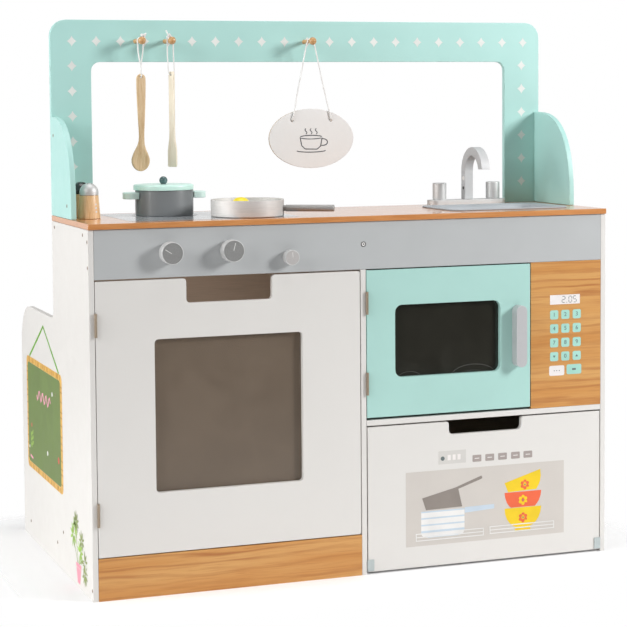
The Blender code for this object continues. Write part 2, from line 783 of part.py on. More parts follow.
def make_spatula():
    """It hangs nearly edge on to the front: its flat faces look left and right."""
    x = PEG_X[1]
    top, hole, thick = 0.8273, 0.8215, 0.0028
    front = [(0.0080, top - 0.005), (0.0076, 0.7300), (0.0085, 0.7150), (0.0135, 0.6950)]
    back = [(-u, v) for u, v in reversed(front)]
    low = arc((0.0135 - 0.0020, 0.6677 + 0.0020), 0.0020, 0, -90, 2)
    low += arc((-0.0135 + 0.0050, 0.6677 + 0.0050), 0.0050, 270, 180, 3)
    outline = [(-0.0060, top), (0.0060, top)] + front + low + back
    holes = [circle((0, hole), 0.0022, 10)]
    place = (x + 0.0016, FRONT + HANG_DEPTH, 0)
    rotation = (pi / 2, 0, pi / 2 + SPATULA_TURN)
    blade = board("spatula", outline, place, rotation, light_wood(), holes, thick)
    loop = cord("spatula_cord", spatula_route(x, hole))
    hang("spatula_swing", (x, HANG_DEPTH, PEG_HEIGHT), blade, loop)


def make_sign():
    x = PEG_X[2]
    reach, height = SIGN_HOLES
    outline = arc((x, SIGN_CENTRE), (0.0775, 0.0510), 0, 360, 40)[:-1]
    holes = [circle((x + side * reach, height), 0.0022, 10) for side in (-1, 1)]
    plaque = facing_board("sign", outline, HANG_DEPTH - 0.002, sign_board(), holes, 0.004)
    loop = cord("sign_cord", sign_route(x))
    hang("sign_swing", (x, HANG_DEPTH, PEG_HEIGHT), plaque, loop)


# Cookware -------------------------------------------------------------------------------------


def make_pot():
    x, y = POT
    foot = COUNTER_TOP + GAP
    radius, high, wall, base = 0.048, 0.0418, 0.0030, 0.004
    profile = [(0, 0), (radius - 0.002, 0), (radius, 0.002), (radius, high)]
    profile += [(radius - wall, high), (radius - wall, base), (0, base)]
    pot = turned("pot", profile, (x, FRONT + y, foot), (0, 0, 0), dark_paint(), 36)
    handles = []
    for name, side in (("left", -1), ("right", 1)):
        half, reach, round_off = 0.017, 0.0695, 0.012
        arms = [(x + side * 0.0490 * cos(a), y + 0.0490 * sin(a)) for a in (-0.34, 0, 0.34)]
        end = x + side * reach
        tip = arc((end - side * round_off, y + half - round_off), round_off, 90, 0, 3)
        if side < 0:
            tip = [(2 * (end + round_off) - u, v) for u, v in tip]
        low_tip = [(u, 2 * y - v) for u, v in reversed(tip)]
        outline = arms + tip + low_tip
        handles.append(
            level_board(f"pot_handle_{name}", outline, foot + 0.0278, mint_board(), (), 0.0108)
        )
    hang("pot_lift", (x, y, foot), pot, *handles)
    top = foot + high + GAP
    x -= 0.0012
    edge, thick = 0.0496, 0.0090
    profile = [(0, -0.002), (0.0400, -0.002), (0.0400, 0), (edge - 0.001, 0), (edge, 0.001)]
    profile += [(edge, thick - 0.0025), (edge - 0.0025, thick), (0, thick)]
    lid = turned("pot_lid", profile, (x, FRONT + y, top), (0, 0, 0), mint_board(), 36)
    profile = [(0, 0)] + [(r, z + 0.0058) for r, z in ball_points(0.0068, 0, -58, 8)]
    spot = (x, FRONT + y, top + thick + GAP)
    grip = turned("pot_lid_knob", profile, spot, (0, 0, 0), dark_paint(), 18)
    hang("pot_lid_lift", (x, y, top), lid, grip)


def make_pan():
    x, y = PAN
    foot = COUNTER_TOP + GAP
    high, wall, base = 0.0281, 0.0022, 0.0035
    profile = [(0, 0), (PAN_RADIUS - 0.001, 0), (PAN_RADIUS, 0.001), (PAN_RADIUS, high)]
    profile += [(PAN_RADIUS - wall, high), (PAN_RADIUS - wall, base), (0, base)]
    pan = turned("pan", profile, (x, FRONT + y, foot), (0, 0, 0), silver_paint(), 40)
    start = PAN_RADIUS + GAP + 0.0003
    radius, length = 0.0055, 0.0828
    profile = [(0, 0), (0.0030, 0), (0.0030, 0.0050), (radius, 0.0055)]
    profile += [(radius, length - 0.001), (radius - 0.001, length), (0, length)]
    turn = PAN_HANDLE_TURN
    spot = (x + start * cos(turn), FRONT + y + start * sin(turn), foot + 0.0129)
    handle = turned("pan_handle", profile, spot, (0, pi / 2, turn), silver_paint(), 16)
    hang("pan_lift", (x, y, foot), pan, handle)
    dome = arc((0, 0.0112), 0.0158, 0, 75, 5)
    profile = [(0, 0), (0.0330, 0), (0.0350, 0.003), (0.0345, 0.0065), (0.0300, 0.0085)]
    profile += [(0.0158, 0.0092)] + dome + [(0, 0.0270)]
    yolk_x, yolk_y = x - 0.0105, y + 0.002
    spot = (yolk_x, FRONT + yolk_y, foot + base + GAP)
    egg = turned("fried_egg", profile, spot, (0, 0, 0), yolk(), 24)
    hang("fried_egg_lift", (yolk_x, yolk_y, foot + base), egg)


def make_shaker(name, place, cap_mat):
    """A tapered wooden body with a turned dome on top."""
    x, y = place
    foot = COUNTER_TOP + GAP
    low, top, high = 0.0181, 0.0153, 0.0375
    profile = [(0, 0), (low - 0.001, 0), (low, 0.001), (top, high), (0, high)]
    body = turned(f"{name}_shaker", profile, (x, FRONT + y, foot), (0, 0, 0), light_wood(), 24)
    dome = [(0, 0), (top, 0), (top, 0.0045)] + arc((0, 0.0045), (top, 0.0150), 15, 75, 4)
    dome.append((0, 0.0195))
    spot = (x, FRONT + y, foot + high + GAP)
    cap = turned(f"{name}_cap", dome, spot, (0, 0, 0), cap_mat, 24)
    hang(f"{name}_lift", (x, y, foot), body, cap)


def build():
    for old in list(bpy.data.objects):
        bpy.data.objects.remove(old)
    make_sides()
    make_partition()
    make_countertop()
    make_fascia()
    make_cabinet_boards()
    make_serving_frame()
    make_wings()
    make_bench()
    make_oven_door()
    make_microwave_door()
    make_dishwasher_flap()
    make_knobs()
    make_sink()
    make_faucet()
    make_pegs()
    make_spoon()
    make_spatula()
    make_sign()
    make_pot()
    make_pan()
    make_shaker("salt", SALT, silver_paint())
    make_shaker("pepper", PEPPER, black_paint())


build()
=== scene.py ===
"""The looks of a double-sided wooden toy kitchen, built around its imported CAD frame.

Metres, +Z up, the kitchen's front towards -Y.
"""

from math import atan2, cos, pi, radians, sin, tau

import bmesh
import bpy
from mathutils import Matrix, Vector


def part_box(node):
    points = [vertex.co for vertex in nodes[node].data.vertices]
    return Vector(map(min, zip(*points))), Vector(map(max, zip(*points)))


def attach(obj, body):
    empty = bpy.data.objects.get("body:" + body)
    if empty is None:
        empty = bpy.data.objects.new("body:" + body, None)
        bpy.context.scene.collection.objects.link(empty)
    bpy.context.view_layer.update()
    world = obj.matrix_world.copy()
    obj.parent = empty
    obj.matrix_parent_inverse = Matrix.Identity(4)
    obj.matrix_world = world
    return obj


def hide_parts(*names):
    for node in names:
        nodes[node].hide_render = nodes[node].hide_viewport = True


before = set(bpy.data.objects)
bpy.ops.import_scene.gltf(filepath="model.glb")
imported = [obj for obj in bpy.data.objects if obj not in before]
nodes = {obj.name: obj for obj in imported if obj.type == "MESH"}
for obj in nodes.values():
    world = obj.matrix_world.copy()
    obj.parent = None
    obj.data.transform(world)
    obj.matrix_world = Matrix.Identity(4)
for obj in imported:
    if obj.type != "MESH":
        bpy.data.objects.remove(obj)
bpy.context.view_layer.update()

# Depths are measured from the kitchen's front face, as in the part's source
FRONT = -0.252
BOARD = 0.009
LEFT_FACE = -0.45
COUNTER = 0.59
FOOT = 0.5903
BACK_PANEL = 0.246
PEG_X = (-0.3044, -0.2529, -0.003)
PEG_HEIGHT = 0.8785
HANG = 0.2145
SHANK = 0.0033
CORD = 0.0012
POT = (-0.2792, 0.17)
PAN = (-0.164, 0.082)
SINK = (0.1865, 0.045, 0.409, 0.1905)
FAUCET = (0.2911, 0.2165)
SPOON_HOLE = 0.8186
SPATULA_HOLE = 0.8215
SIGN_REACH = 0.0356

# Prints are thin skins: half their thickness, their distance from the board, and the step from layer to layer
INK_DEPTH = 0.00007
INK_LIFT = 0.0001
LAYER = 0.00016

FORWARD = (pi / 2, 0, 0)
SIDES = (("left", -1), ("right", 1))


def link(thing):
    bpy.context.collection.objects.link(thing)


# Camera


def make_camera():
    yaw, pitch, roll = radians(19.7628), radians(-3.8221), radians(-0.477)
    forward = Vector((sin(yaw) * cos(pitch), cos(yaw) * cos(pitch), sin(pitch)))
    level = Vector((cos(yaw), -sin(yaw), 0))
    upright = level.cross(forward)
    right = level * cos(roll) + upright * sin(roll)
    up = upright * cos(roll) - level * sin(roll)
    lens = bpy.data.cameras.new("camera")
    lens.sensor_width = 36
    lens.lens = 105.46
    lens.shift_x = 0.0324
    lens.shift_y = -0.1405
    camera = bpy.data.objects.new("camera", lens)
    camera.matrix_world = Matrix((right, up, -forward)).transposed().to_4x4()
    camera.location = (-1.1038, -3.0056, 0.7736)
    link(camera)
    bpy.context.scene.camera = camera


make_camera()


# Node materials


def add(tree, kind, sockets=None, **settings):
    node = tree.nodes.new(kind)
    for key, value in settings.items():
        setattr(node, key, value)
    for key, value in (sockets or {}).items():
        if isinstance(value, bpy.types.NodeSocket):
            tree.links.new(value, node.inputs[key])
        else:
            node.inputs[key].default_value = value
    return node


def new_material(name, **values):
    mat = bpy.data.materials.new(name)
    mat.use_nodes = True
    inputs = mat.node_tree.nodes["Principled BSDF"].inputs
    for key, value in values.items():
        inputs[key.replace("_", " ").title()].default_value = value
    return mat, mat.node_tree


def space(tree, scale=(1, 1, 1), shift=(0, 0, 0)):
    coords = add(tree, "ShaderNodeTexCoord").outputs["Object"]
    mapping = {"Vector": coords, "Scale": scale, "Location": shift}
    return add(tree, "ShaderNodeMapping", mapping).outputs[0]


def noise(tree, vector, scale, detail=3.0, rough=0.5, twist=0.0):
    sockets = {"Vector": vector, "Scale": scale, "Detail": detail, "Roughness": rough, "Distortion": twist}
    return add(tree, "ShaderNodeTexNoise", sockets).outputs[0]


def spread(tree, value, low, high, to_low=0.0, to_high=1.0):
    sockets = {"Value": value, "From Min": low, "From Max": high, "To Min": to_low, "To Max": to_high}
    return add(tree, "ShaderNodeMapRange", sockets).outputs[0]


def mix(tree, factor, a, b, mode="MIX"):
    a, b = (c if isinstance(c, bpy.types.NodeSocket) else (*c[:3], 1) for c in (a, b))
    node = add(tree, "ShaderNodeMix", None, data_type="RGBA", blend_type=mode)
    for index, value in ((0, factor), (6, a), (7, b)):
        if isinstance(value, bpy.types.NodeSocket):
            tree.links.new(value, node.inputs[index])
        else:
            node.inputs[index].default_value = value
    return node.outputs[2]


def ramp(tree, factor, stops):
    node = add(tree, "ShaderNodeValToRGB", {"Fac": factor})
    elements = node.color_ramp.elements
    while len(elements) < len(stops):
        elements.new(0.5)
    for element, (place, colour) in zip(elements, stops):
        element.position = place
        element.color = (*colour, 1)
    return node.outputs[0]


def math(tree, operation, a, b=0.0):
    return add(tree, "ShaderNodeMath", {0: a, 1: b}, operation=operation).outputs[0]


def bump(mat, base, rough, height, strength, distance):
    """Joins colour, roughness and relief to the shader."""
    tree = mat.node_tree
    relief = add(tree, "ShaderNodeBump", {"Height": height, "Strength": strength, "Distance": distance})
    inputs = tree.nodes["Principled BSDF"].inputs
    for key, socket in (("Base Color", base), ("Roughness", rough), ("Normal", relief.outputs[0])):
        tree.links.new(socket, inputs[key])
    return mat


def shade(colour, factor):
    return tuple(min(1.0, c * factor) for c in colour)


def facing(tree, axis):
    """How far a surface faces along one axis of its own object, 0 to 1."""
    normal = add(tree, "ShaderNodeTexCoord").outputs["Normal"]
    return math(tree, "ABSOLUTE", add(tree, "ShaderNodeSeparateXYZ", {0: normal}).outputs[axis])


def painted(name, colour, roughness=0.42, drift=0.035, peel=0.00005, edge=None, **values):
    """Sprayed board paint: slow drift of tone, faint specks and orange peel. Edges may show another colour."""
    mat, tree = new_material(name, **values)
    place = space(tree)
    cloud = spread(tree, noise(tree, place, 6, 4, 0.6), 0.32, 0.68)
    base = mix(tree, cloud, shade(colour, 1 - drift), shade(colour, 1 + drift * 0.5))
    specks = spread(tree, noise(tree, place, 420, 2), 0.66, 0.78, 0, 0.22)
    base = mix(tree, specks, base, shade(colour, 0.82))
    if edge:
        raw = mix(tree, noise(tree, space(tree, (60, 60, 500)), 1, 3), shade(edge, 0.8), shade(edge, 1.12))
        base = mix(tree, spread(tree, facing(tree, 1), 0.35, 0.6), raw, base)
    rough = spread(tree, noise(tree, place, 38, 4, 0.6), 0.3, 0.7, roughness - 0.07, roughness + 0.07)
    waves = math(tree, "MULTIPLY", noise(tree, place, 90, 2), 1.5)
    return bump(mat, base, rough, math(tree, "ADD", noise(tree, place, 650, 2), waves), 0.5, peel)


def wooden(name, tones, along, roughness=0.45, fine=1.0, rings=0.5, stretch=16.0, **values):
    """Streaked wood. Tones go from dark to light, and the grain runs along one axis, 0, 1 or 2."""
    mat, tree = new_material(name, **values)
    scale = [stretch * fine] * 3
    scale[along] = fine
    place = space(tree, scale, (3.1, 7.7, 1.3))
    narrow = noise(tree, place, 13, 4, 0.6, 0.3)
    scale = [900 * fine ** 0.5] * 3
    scale[along] = 26
    fibres = noise(tree, space(tree, scale), 1, 3, 0.65)
    dark, middle, light = tones
    stops = ((0.3, dark), (0.42, middle), (0.54, light), (0.62, middle), (0.74, light))
    base = ramp(tree, noise(tree, place, 3.2, 5, 0.62, rings), stops)
    base = mix(tree, 0.4, base, mix(tree, spread(tree, narrow, 0.36, 0.6), shade(dark, 0.96), light))
    pores = spread(tree, fibres, 0.3, 0.62)
    base = mix(tree, pores, mix(tree, 0.16, base, shade(dark, 0.6)), base)
    rough = spread(tree, fibres, 0.3, 0.7, roughness + 0.07, roughness - 0.05)
    return bump(mat, base, rough, math(tree, "ADD", fibres, math(tree, "MULTIPLY", narrow, 0.5)), 0.4, 0.0001)


def grained(name, tones, roughness=0.4):
    """A printed oak foil: long wavy dark lines on a light ground. The grain runs along x."""
    mat, tree = new_material(name)
    sockets = {"Vector": space(tree, (0.1, 1, 1), (0.37, 0.11, 0.23)), "Scale": 20, "Distortion": 14}
    sockets.update({"Detail": 4, "Detail Scale": 0.7, "Detail Roughness": 0.6})
    wave = add(tree, "ShaderNodeTexWave", sockets, bands_direction="Z").outputs[1]
    calm = spread(tree, noise(tree, space(tree, (4, 1, 22)), 1, 3, 0.6), 0.36, 0.66, 0.1, 0.8)
    fine = noise(tree, space(tree, (14, 1, 420)), 1, 4, 0.65, 0.4)
    dark, middle, light = tones
    ground = mix(tree, spread(tree, noise(tree, space(tree, (3, 1, 40)), 1, 3), 0.35, 0.65), middle, light)
    base = mix(tree, math(tree, "MULTIPLY", spread(tree, wave, 0.55, 1.0), calm), ground, dark)
    base = mix(tree, spread(tree, fine, 0.5, 0.74, 0, 0.5), base, dark)
    base = mix(tree, spread(tree, fine, 0.28, 0.46, 0.35, 0), base, light)
    return bump(mat, base, spread(tree, fine, 0.3, 0.7, roughness - 0.04, roughness + 0.06), fine, 0.25, 0.00005)


def brushed(name, colour, roughness=0.32, across=2, metallic=0.85, depth=0.00002, drift=0.1):
    """Satin metal or metal paint with fine lines that run round or along, closely spaced on one axis."""
    mat, tree = new_material(name, metallic=metallic)
    scale = [45.0] * 3
    scale[across] = 2600.0
    lines = noise(tree, space(tree, scale), 1, 3, 0.6)
    cloud = noise(tree, space(tree), 70, 4, 0.6)
    base = mix(tree, spread(tree, lines, 0.3, 0.7), shade(colour, 1 - drift), shade(colour, 1 + drift))
    base = mix(tree, spread(tree, cloud, 0.45, 0.75, 0, 0.35), base, shade(colour, 0.86))
    mixed = math(tree, "ADD", math(tree, "MULTIPLY", lines, 0.6), math(tree, "MULTIPLY", cloud, 0.6))
    return bump(mat, base, spread(tree, mixed, 0.35, 0.85, roughness - 0.06, roughness + 0.1), lines, 0.5, depth)


def speckled(name, colour, other, roughness=0.45, scale=900, metallic=0.3, **values):
    """A fine-grained finish: metal flake paint or stone-like print."""
    mat, tree = new_material(name, metallic=metallic, **values)
    place = space(tree)
    grain = noise(tree, place, scale, 2, 0.7)
    cloud = noise(tree, place, 40, 3)
    base = mix(tree, spread(tree, grain, 0.42, 0.6), colour, other)
    base = mix(tree, spread(tree, cloud, 0.4, 0.7, 0, 0.25), base, shade(colour, 0.85))
    return bump(mat, base, spread(tree, cloud, 0.3, 0.7, roughness - 0.05, roughness + 0.06), grain, 0.4, 0.00003)


def ink(name, colour, roughness=0.5, drift=0.06, **values):
    """A printed area: dot-fine mottling and slightly uneven gloss."""
    mat, tree = new_material(name, **values)
    place = space(tree)
    dots = spread(tree, noise(tree, place, 1300, 1), 0.35, 0.65)
    cloud = spread(tree, noise(tree, place, 22, 3), 0.35, 0.65)
    base = mix(tree, cloud, shade(colour, 1 - drift), shade(colour, 1 + drift))
    base = mix(tree, math(tree, "MULTIPLY", dots, 0.3), base, shade(colour, 0.9))
    return bump(mat, base, spread(tree, cloud, 0, 1, roughness - 0.05, roughness + 0.05), dots, 0.2, 0.00002)


def woven(name, colour):
    """Twisted cotton cord."""
    mat, tree = new_material(name, sheen_weight=0.4)
    place = space(tree)
    sockets = {"Vector": place, "Scale": 420, "Distortion": 1.5, "Detail": 2}
    wave = add(tree, "ShaderNodeTexWave", sockets, bands_direction="DIAGONAL").outputs[1]
    fuzz = noise(tree, place, 2500, 2)
    base = mix(tree, spread(tree, wave, 0.1, 0.6), shade(colour, 0.8), colour)
    base = mix(tree, spread(tree, fuzz, 0.4, 0.7, 0, 0.3), base, shade(colour, 0.88))
    relief = math(tree, "ADD", wave, math(tree, "MULTIPLY", fuzz, 0.4))
    return bump(mat, base, spread(tree, fuzz, 0.3, 0.7, 0.8, 0.95), relief, 0.7, 0.0003)


def tinted(name, colour, alpha, roughness=0.12):
    """A pane or clear plastic with faint smears in its gloss."""
    mat, tree = new_material(name, alpha=alpha)
    place = space(tree)
    smear = noise(tree, place, 14, 5, 0.7, 1.2)
    base = mix(tree, spread(tree, smear, 0.3, 0.7), shade(colour, 0.88), shade(colour, 1.12))
    base = mix(tree, spread(tree, noise(tree, place, 700, 1), 0.66, 0.76, 0, 0.3), base, shade(colour, 1.6))
    return bump(mat, base, spread(tree, smear, 0.3, 0.7, roughness - 0.04, roughness + 0.08), smear, 0.08, 0.0004)


WHITE = painted("white_board", (0.71, 0.69, 0.662), 0.42, 0.015, 0.00003)
GREY = painted("grey_board", (0.464, 0.478, 0.482), 0.42)
MINT = painted("mint_board", (0.431, 0.704, 0.661), 0.4)
DOOR_MINT = painted("mint_door", (0.404, 0.648, 0.597), 0.4)
SIGN = painted("sign_board", (0.81, 0.81, 0.8), 0.5, edge=(0.52, 0.38, 0.24))
RAW = wooden("raw_board", ((0.56, 0.435, 0.325), (0.61, 0.475, 0.36), (0.64, 0.5, 0.38)), 0, 0.75, 1.6)
OAK = grained("oak_board", ((0.38, 0.125, 0.028), (0.56, 0.25, 0.062), (0.63, 0.335, 0.108)))
COUNTER_WOOD = wooden(
    "counter_board", ((0.5, 0.185, 0.05), (0.6, 0.24, 0.07), (0.66, 0.29, 0.1)), 0, 0.3, 1.6, 0.7,
    coat_weight=0.8, coat_roughness=0.1,
)
HOB = speckled(
    "hob_print", (0.36, 0.375, 0.395), (0.43, 0.445, 0.465), 0.28, 420, 0.0, coat_weight=0.8, coat_roughness=0.08
)
PEG_WOOD = wooden(
    "peg_wood", ((0.4, 0.19, 0.07), (0.55, 0.29, 0.11), (0.65, 0.38, 0.16)), 2, 0.32, 6, 0.4, 9,
    coat_weight=0.5, coat_roughness=0.12,
)
SHAKER_WOOD = wooden(
    "shaker_wood", ((0.62, 0.36, 0.15), (0.78, 0.5, 0.24), (0.86, 0.6, 0.34)), 2, 0.34, 4, 0.4, 9,
    coat_weight=0.4, coat_roughness=0.15,
)
SPOON_WOOD = wooden("spoon_wood", ((0.52, 0.34, 0.17), (0.66, 0.46, 0.26), (0.75, 0.57, 0.36)), 2, 0.6, 4, 0.3, 12)
SPATULA_WOOD = wooden("spatula_wood", ((0.76, 0.62, 0.45), (0.88, 0.78, 0.62), (0.93, 0.86, 0.72)), 2, 0.6, 4, 0.3, 12)
SILVER = brushed("silver_paint", (0.66, 0.66, 0.655), 0.5, 2, 0.5, 0.00001, 0.05)
SPOUT_SILVER = brushed("spout_silver", (0.58, 0.585, 0.59), 0.55, 0, 0.3, 0.00001, 0.05)
PAN_SILVER = brushed("pan_silver", (0.62, 0.605, 0.59), 0.55, 2, 0.35, 0.00001, 0.12)
HANDLE_SILVER = speckled("handle_silver", (0.5, 0.5, 0.51), (0.62, 0.62, 0.63), 0.42, 1200, 0.35)
KNOB_FACE = speckled("knob_face", (0.24, 0.24, 0.235), (0.3, 0.3, 0.295), 0.5, 1500, 0.2)
KNOB_FACE_LIGHT = speckled("knob_face_light", (0.46, 0.44, 0.43), (0.54, 0.52, 0.51), 0.5, 1500, 0.2)
BAR_GREY = speckled("bar_grey", (0.3, 0.29, 0.28), (0.44, 0.43, 0.42), 0.45, 1400, 0.4)
POT_GREY = painted("pot_grey", (0.2, 0.212, 0.218), 0.42, 0.06, 0.00003, coat_weight=0.3, coat_roughness=0.2)
POT_INSIDE = brushed("pot_inside", (0.3, 0.31, 0.32), 0.35, 2, 0.6)
LID_MINT = painted("lid_mint", (0.66, 0.93, 0.84), 0.38, 0.03, 0.00002, coat_weight=0.3, coat_roughness=0.25)
GRIP_MINT = painted("grip_mint", (0.72, 0.92, 0.86), 0.38, 0.03, 0.00002)
LID_KNOB = painted("lid_knob_paint", (0.075, 0.135, 0.14), 0.25, 0.05, 0.00002, coat_weight=0.5, coat_roughness=0.1)
BLACK = painted("black_paint", (0.012, 0.014, 0.014), 0.25, 0.2, 0.00002, coat_weight=0.4, coat_roughness=0.15)
HINGE = brushed("hinge_metal", (0.34, 0.27, 0.2), 0.45, 2, 0.6)
SCREW = brushed("screw_metal", (0.36, 0.26, 0.19), 0.45, 0, 0.4)
# Painted shade: near-black paint on flat discs and crosses where holes, screw slots and the bolt's recess would be dark
RECESS_SHADE = painted("painted_recess_shade", (0.035, 0.03, 0.026), 0.7)
# Painted light: the pane's brown tint stands in for the lit brown back panel seen through the clear window
OVEN_PANE_PAINTED_LIGHT = tinted("clear_pane", (0.19, 0.146, 0.108), 0.62, 0.16)
SMOKED = tinted("smoked_pane", (0.02, 0.019, 0.014), 0.985, 0.12)
FROSTED = tinted("frosted_plastic", (0.5, 0.56, 0.56), 0.9, 0.35)
SINK_MAT = painted("sink_plastic", (0.385, 0.41, 0.435), 0.4, 0.03, 0.00001)
COTTON = woven("cotton", (0.96, 0.955, 0.94))
EGG_WHITE = painted("egg_white", (0.86, 0.85, 0.8), 0.35, 0.03, 0.00008)
EGG_YOLK = painted("egg_yolk", (0.9, 0.73, 0.03), 0.35, 0.06, 0.00006)

STAR_INK = ink("star_ink", (0.76, 0.78, 0.75))
CHALK_GREEN = ink("chalkboard_ink", (0.152, 0.216, 0.07), 0.6, 0.06)
FRAME_INK = wooden("frame_ink", ((0.36, 0.16, 0.03), (0.74, 0.42, 0.08), (0.84, 0.53, 0.14)), 1, 0.5, 18, 1.0, 3)
GRAIN_INK = ink("grain_ink", (0.3, 0.12, 0.02))
STRING_INK = ink("string_ink", (0.12, 0.36, 0.005))
PINK_INK = ink("pink_ink", (0.8, 0.35, 0.45))
WHITE_INK = ink("white_ink", (0.8, 0.79, 0.77))
RED_INK = ink("red_ink", (0.62, 0.08, 0.06))
LEAF_INK = ink("leaf_ink", (0.33, 0.54, 0.09), 0.5, 0.25)
DARK_LEAF_INK = ink("dark_leaf_ink", (0.27, 0.33, 0.11), 0.5, 0.25)
POT_PINK = ink("pot_pink", (0.83, 0.29, 0.38))
BEIGE_INK = ink("beige_ink", (0.6, 0.56, 0.52), 0.5, 0.015)
PANEL_INK = ink("panel_ink", (0.62, 0.6, 0.57), 0.5, 0.02)
PAN_INK = ink("pan_ink", (0.26, 0.225, 0.2))
BLUE_INK = ink("blue_ink", (0.55, 0.64, 0.73))
YELLOW_INK = ink("yellow_ink", (0.84, 0.58, 0.006))
ORANGE_INK = ink("orange_ink", (0.79, 0.125, 0.045))
BUTTON_INK = ink("button_ink", (0.37, 0.32, 0.3))
MINT_INK = ink("mint_ink", (0.37, 0.67, 0.58))
DIGIT_INK = ink("digit_ink", (0.13, 0.16, 0.16))
DISPLAY_INK = ink("display_ink", (0.8, 0.76, 0.74))
PEN_INK = ink("pen_ink", (0.06, 0.065, 0.08))
# Painted reflection: a faint paint for reflected plate rims on the microwave pane
PANE_REFLECTION_PAINT = ink("painted_pane_reflection", (0.036, 0.035, 0.029))
RING_INK = ink("ring_ink", (0.42, 0.46, 0.5), 0.3, 0.05, coat_weight=0.8, coat_roughness=0.08)
MARK_INK = ink("mark_ink", (0.8, 0.79, 0.77))


# Outlines and pieces


def arc(centre, radii, start, end, steps):
    rx, rz = radii if isinstance(radii, tuple) else (radii, radii)
    turns = [radians(start + (end - start) * i / steps) for i in range(steps + 1)]
    return [(centre[0] + rx * cos(a), centre[1] + rz * sin(a)) for a in turns]


def circle(centre, radius, steps=32):
    return arc(centre, radius, 0, 360, steps)[:-1]


def rounded(box, radius, steps=5):
    left, low, right, high = box
    points = arc((right - radius, high - radius), radius, 0, 90, steps)
    points += arc((left + radius, high - radius), radius, 90, 180, steps)
    points += arc((left + radius, low + radius), radius, 180, 270, steps)
    return points + arc((right - radius, low + radius), radius, 270, 360, steps)


def stroke(points, width):
    """The outline of a line of that width through the points."""
    route = [Vector(p) for p in points]
    sides = ([], [])
    for i, p in enumerate(route):
        run = (route[min(i + 1, len(route) - 1)] - route[max(i - 1, 0)]).normalized()
        off = Vector((-run.y, run.x)) * width / 2
        sides[0].append(tuple(p + off))
        sides[1].append(tuple(p - off))
    return sides[0] + sides[1][::-1]


def shift(points, u, v, turn=0.0):
    c, s = cos(radians(turn)), sin(radians(turn))
    return [(u + x * c - y * s, v + x * s + y * c) for x, y in points]


def rect(left, low, right, high):
    return [(left, low), (right, low), (right, high), (left, high)]


def disc(radius, high, low=0):
    """The profile of a flat round plate."""
    return [(0, low), (radius, low), (radius, high), (0, high)]


def bent(value, power):
    return abs(value) ** power * (1 if value > 0 else -1)


def add_spline(shape, points, closed):
    spline = shape.splines.new("POLY")
    spline.points.add(len(points) - 1)
    for point, place in zip(spline.points, points):
        point.co = (*place, 1)
    spline.use_cyclic_u = closed
    return spline


def to_mesh(name, bm):
    mesh = bpy.data.meshes.new(name)
    bm.to_mesh(mesh)
    bm.free()
    return mesh


def skin(bm, loops):
    """Joins closed loops of equal counts, each to the next."""
    for low, high in zip(loops, loops[1:]):
        for i in range(len(low)):
            j = (i + 1) % len(low)
            bm.faces.new((low[i], low[j], high[j], high[i]))


def place_piece(piece, mat, body):
    piece.data.materials.append(mat)
    link(piece)
    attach(piece, body)
    return piece


def decal(name, loops, side, face, mat, body, layer=0):
    """Printed areas, painted shade and painted reflections as a skin 0.14 mm thick. side is front (x, z), left (depth,
    z) or top (x, depth).
    """
    shape = bpy.data.curves.new(name, "CURVE")
    shape.dimensions = "2D"
    shape.fill_mode = "BOTH"
    shape.extrude = INK_DEPTH
    for loop in loops:
        add_spline(shape, [(u, v, 0) for u, v in loop], True)
    piece = bpy.data.objects.new(name, shape)
    off = INK_LIFT + LAYER * layer
    if side == "front":
        piece.location, piece.rotation_euler = at(0, face - off, 0), FORWARD
    elif side == "left":
        piece.location, piece.rotation_euler = (face - off, FRONT, 0), (pi / 2, 0, pi / 2)
    else:
        piece.location = at(0, 0, face + off)
    return place_piece(piece, mat, body)


def label(name, text, x, z, face):
    """A digit of the keypad."""
    shape = bpy.data.curves.new(name, "FONT")
    shape.body = text
    shape.size = 0.0098
    shape.extrude = INK_DEPTH
    shape.align_x, shape.align_y = "CENTER", "CENTER"
    piece = bpy.data.objects.new(name, shape)
    piece.location, piece.rotation_euler = at(x, face - INK_LIFT - LAYER, z), FORWARD
    place_piece(piece, DIGIT_INK, "carcass")


def mesh_piece(name, bm, mat, body, place=(0, 0, 0), turn=(0, 0, 0), sharp=35):
    bmesh.ops.remove_doubles(bm, verts=bm.verts, dist=1e-6)
    bmesh.ops.recalc_face_normals(bm, faces=bm.faces)
    mesh = to_mesh(name, bm)
    mesh.shade_smooth()
    mesh.set_sharp_from_angle(angle=radians(sharp))
    piece = bpy.data.objects.new(name, mesh)
    piece.location, piece.rotation_euler = place, turn
    return place_piece(piece, mat, body)


def fillet(corners, steps=5):
    """Corners are (radius, height) or (radius, height, rounding)."""
    points = []
    for i, corner in enumerate(corners):
        if len(corner) == 2:
            points.append(corner)
            continue
        p = Vector(corner[:2])
        back = (Vector(corners[i - 1][:2]) - p).normalized() * corner[2]
        on = (Vector(corners[i + 1][:2]) - p).normalized() * corner[2]
        for k in range(steps + 1):
            t = k / steps
            q = p + back * (1 - t) ** 2 + on * t**2
            points.append((q.x, q.y))
    return points


def turned(name, profile, mat, body, place, turn=(0, 0, 0), steps=64, sharp=35):
    bm = bmesh.new()
    verts = [bm.verts.new((max(r, 0), 0, z)) for r, z in profile]
    edges = [bm.edges.new(pair) for pair in zip(verts, verts[1:])]
    bmesh.ops.spin(
        bm, geom=verts + edges, cent=(0, 0, 0), axis=(0, 0, 1), angle=tau, steps=steps, use_merge=True
    )
    return mesh_piece(name, bm, mat, body, place, turn, sharp)


def at(x, depth, z):
    return (x, FRONT + depth, z)


# Cords


def over_peg(x, start, end):
    return [(u, HANG, v) for u, v in arc((x, PEG_HEIGHT), SHANK + CORD + 0.0004, start, end, 6)]


def through_hole(face, hole):
    out, turn = face + 0.003, face + 0.0005
    return [(out, hole + 0.0035), (turn, hole + 0.0002), (-turn, hole + 0.0002), (-out, hole + 0.0035)]


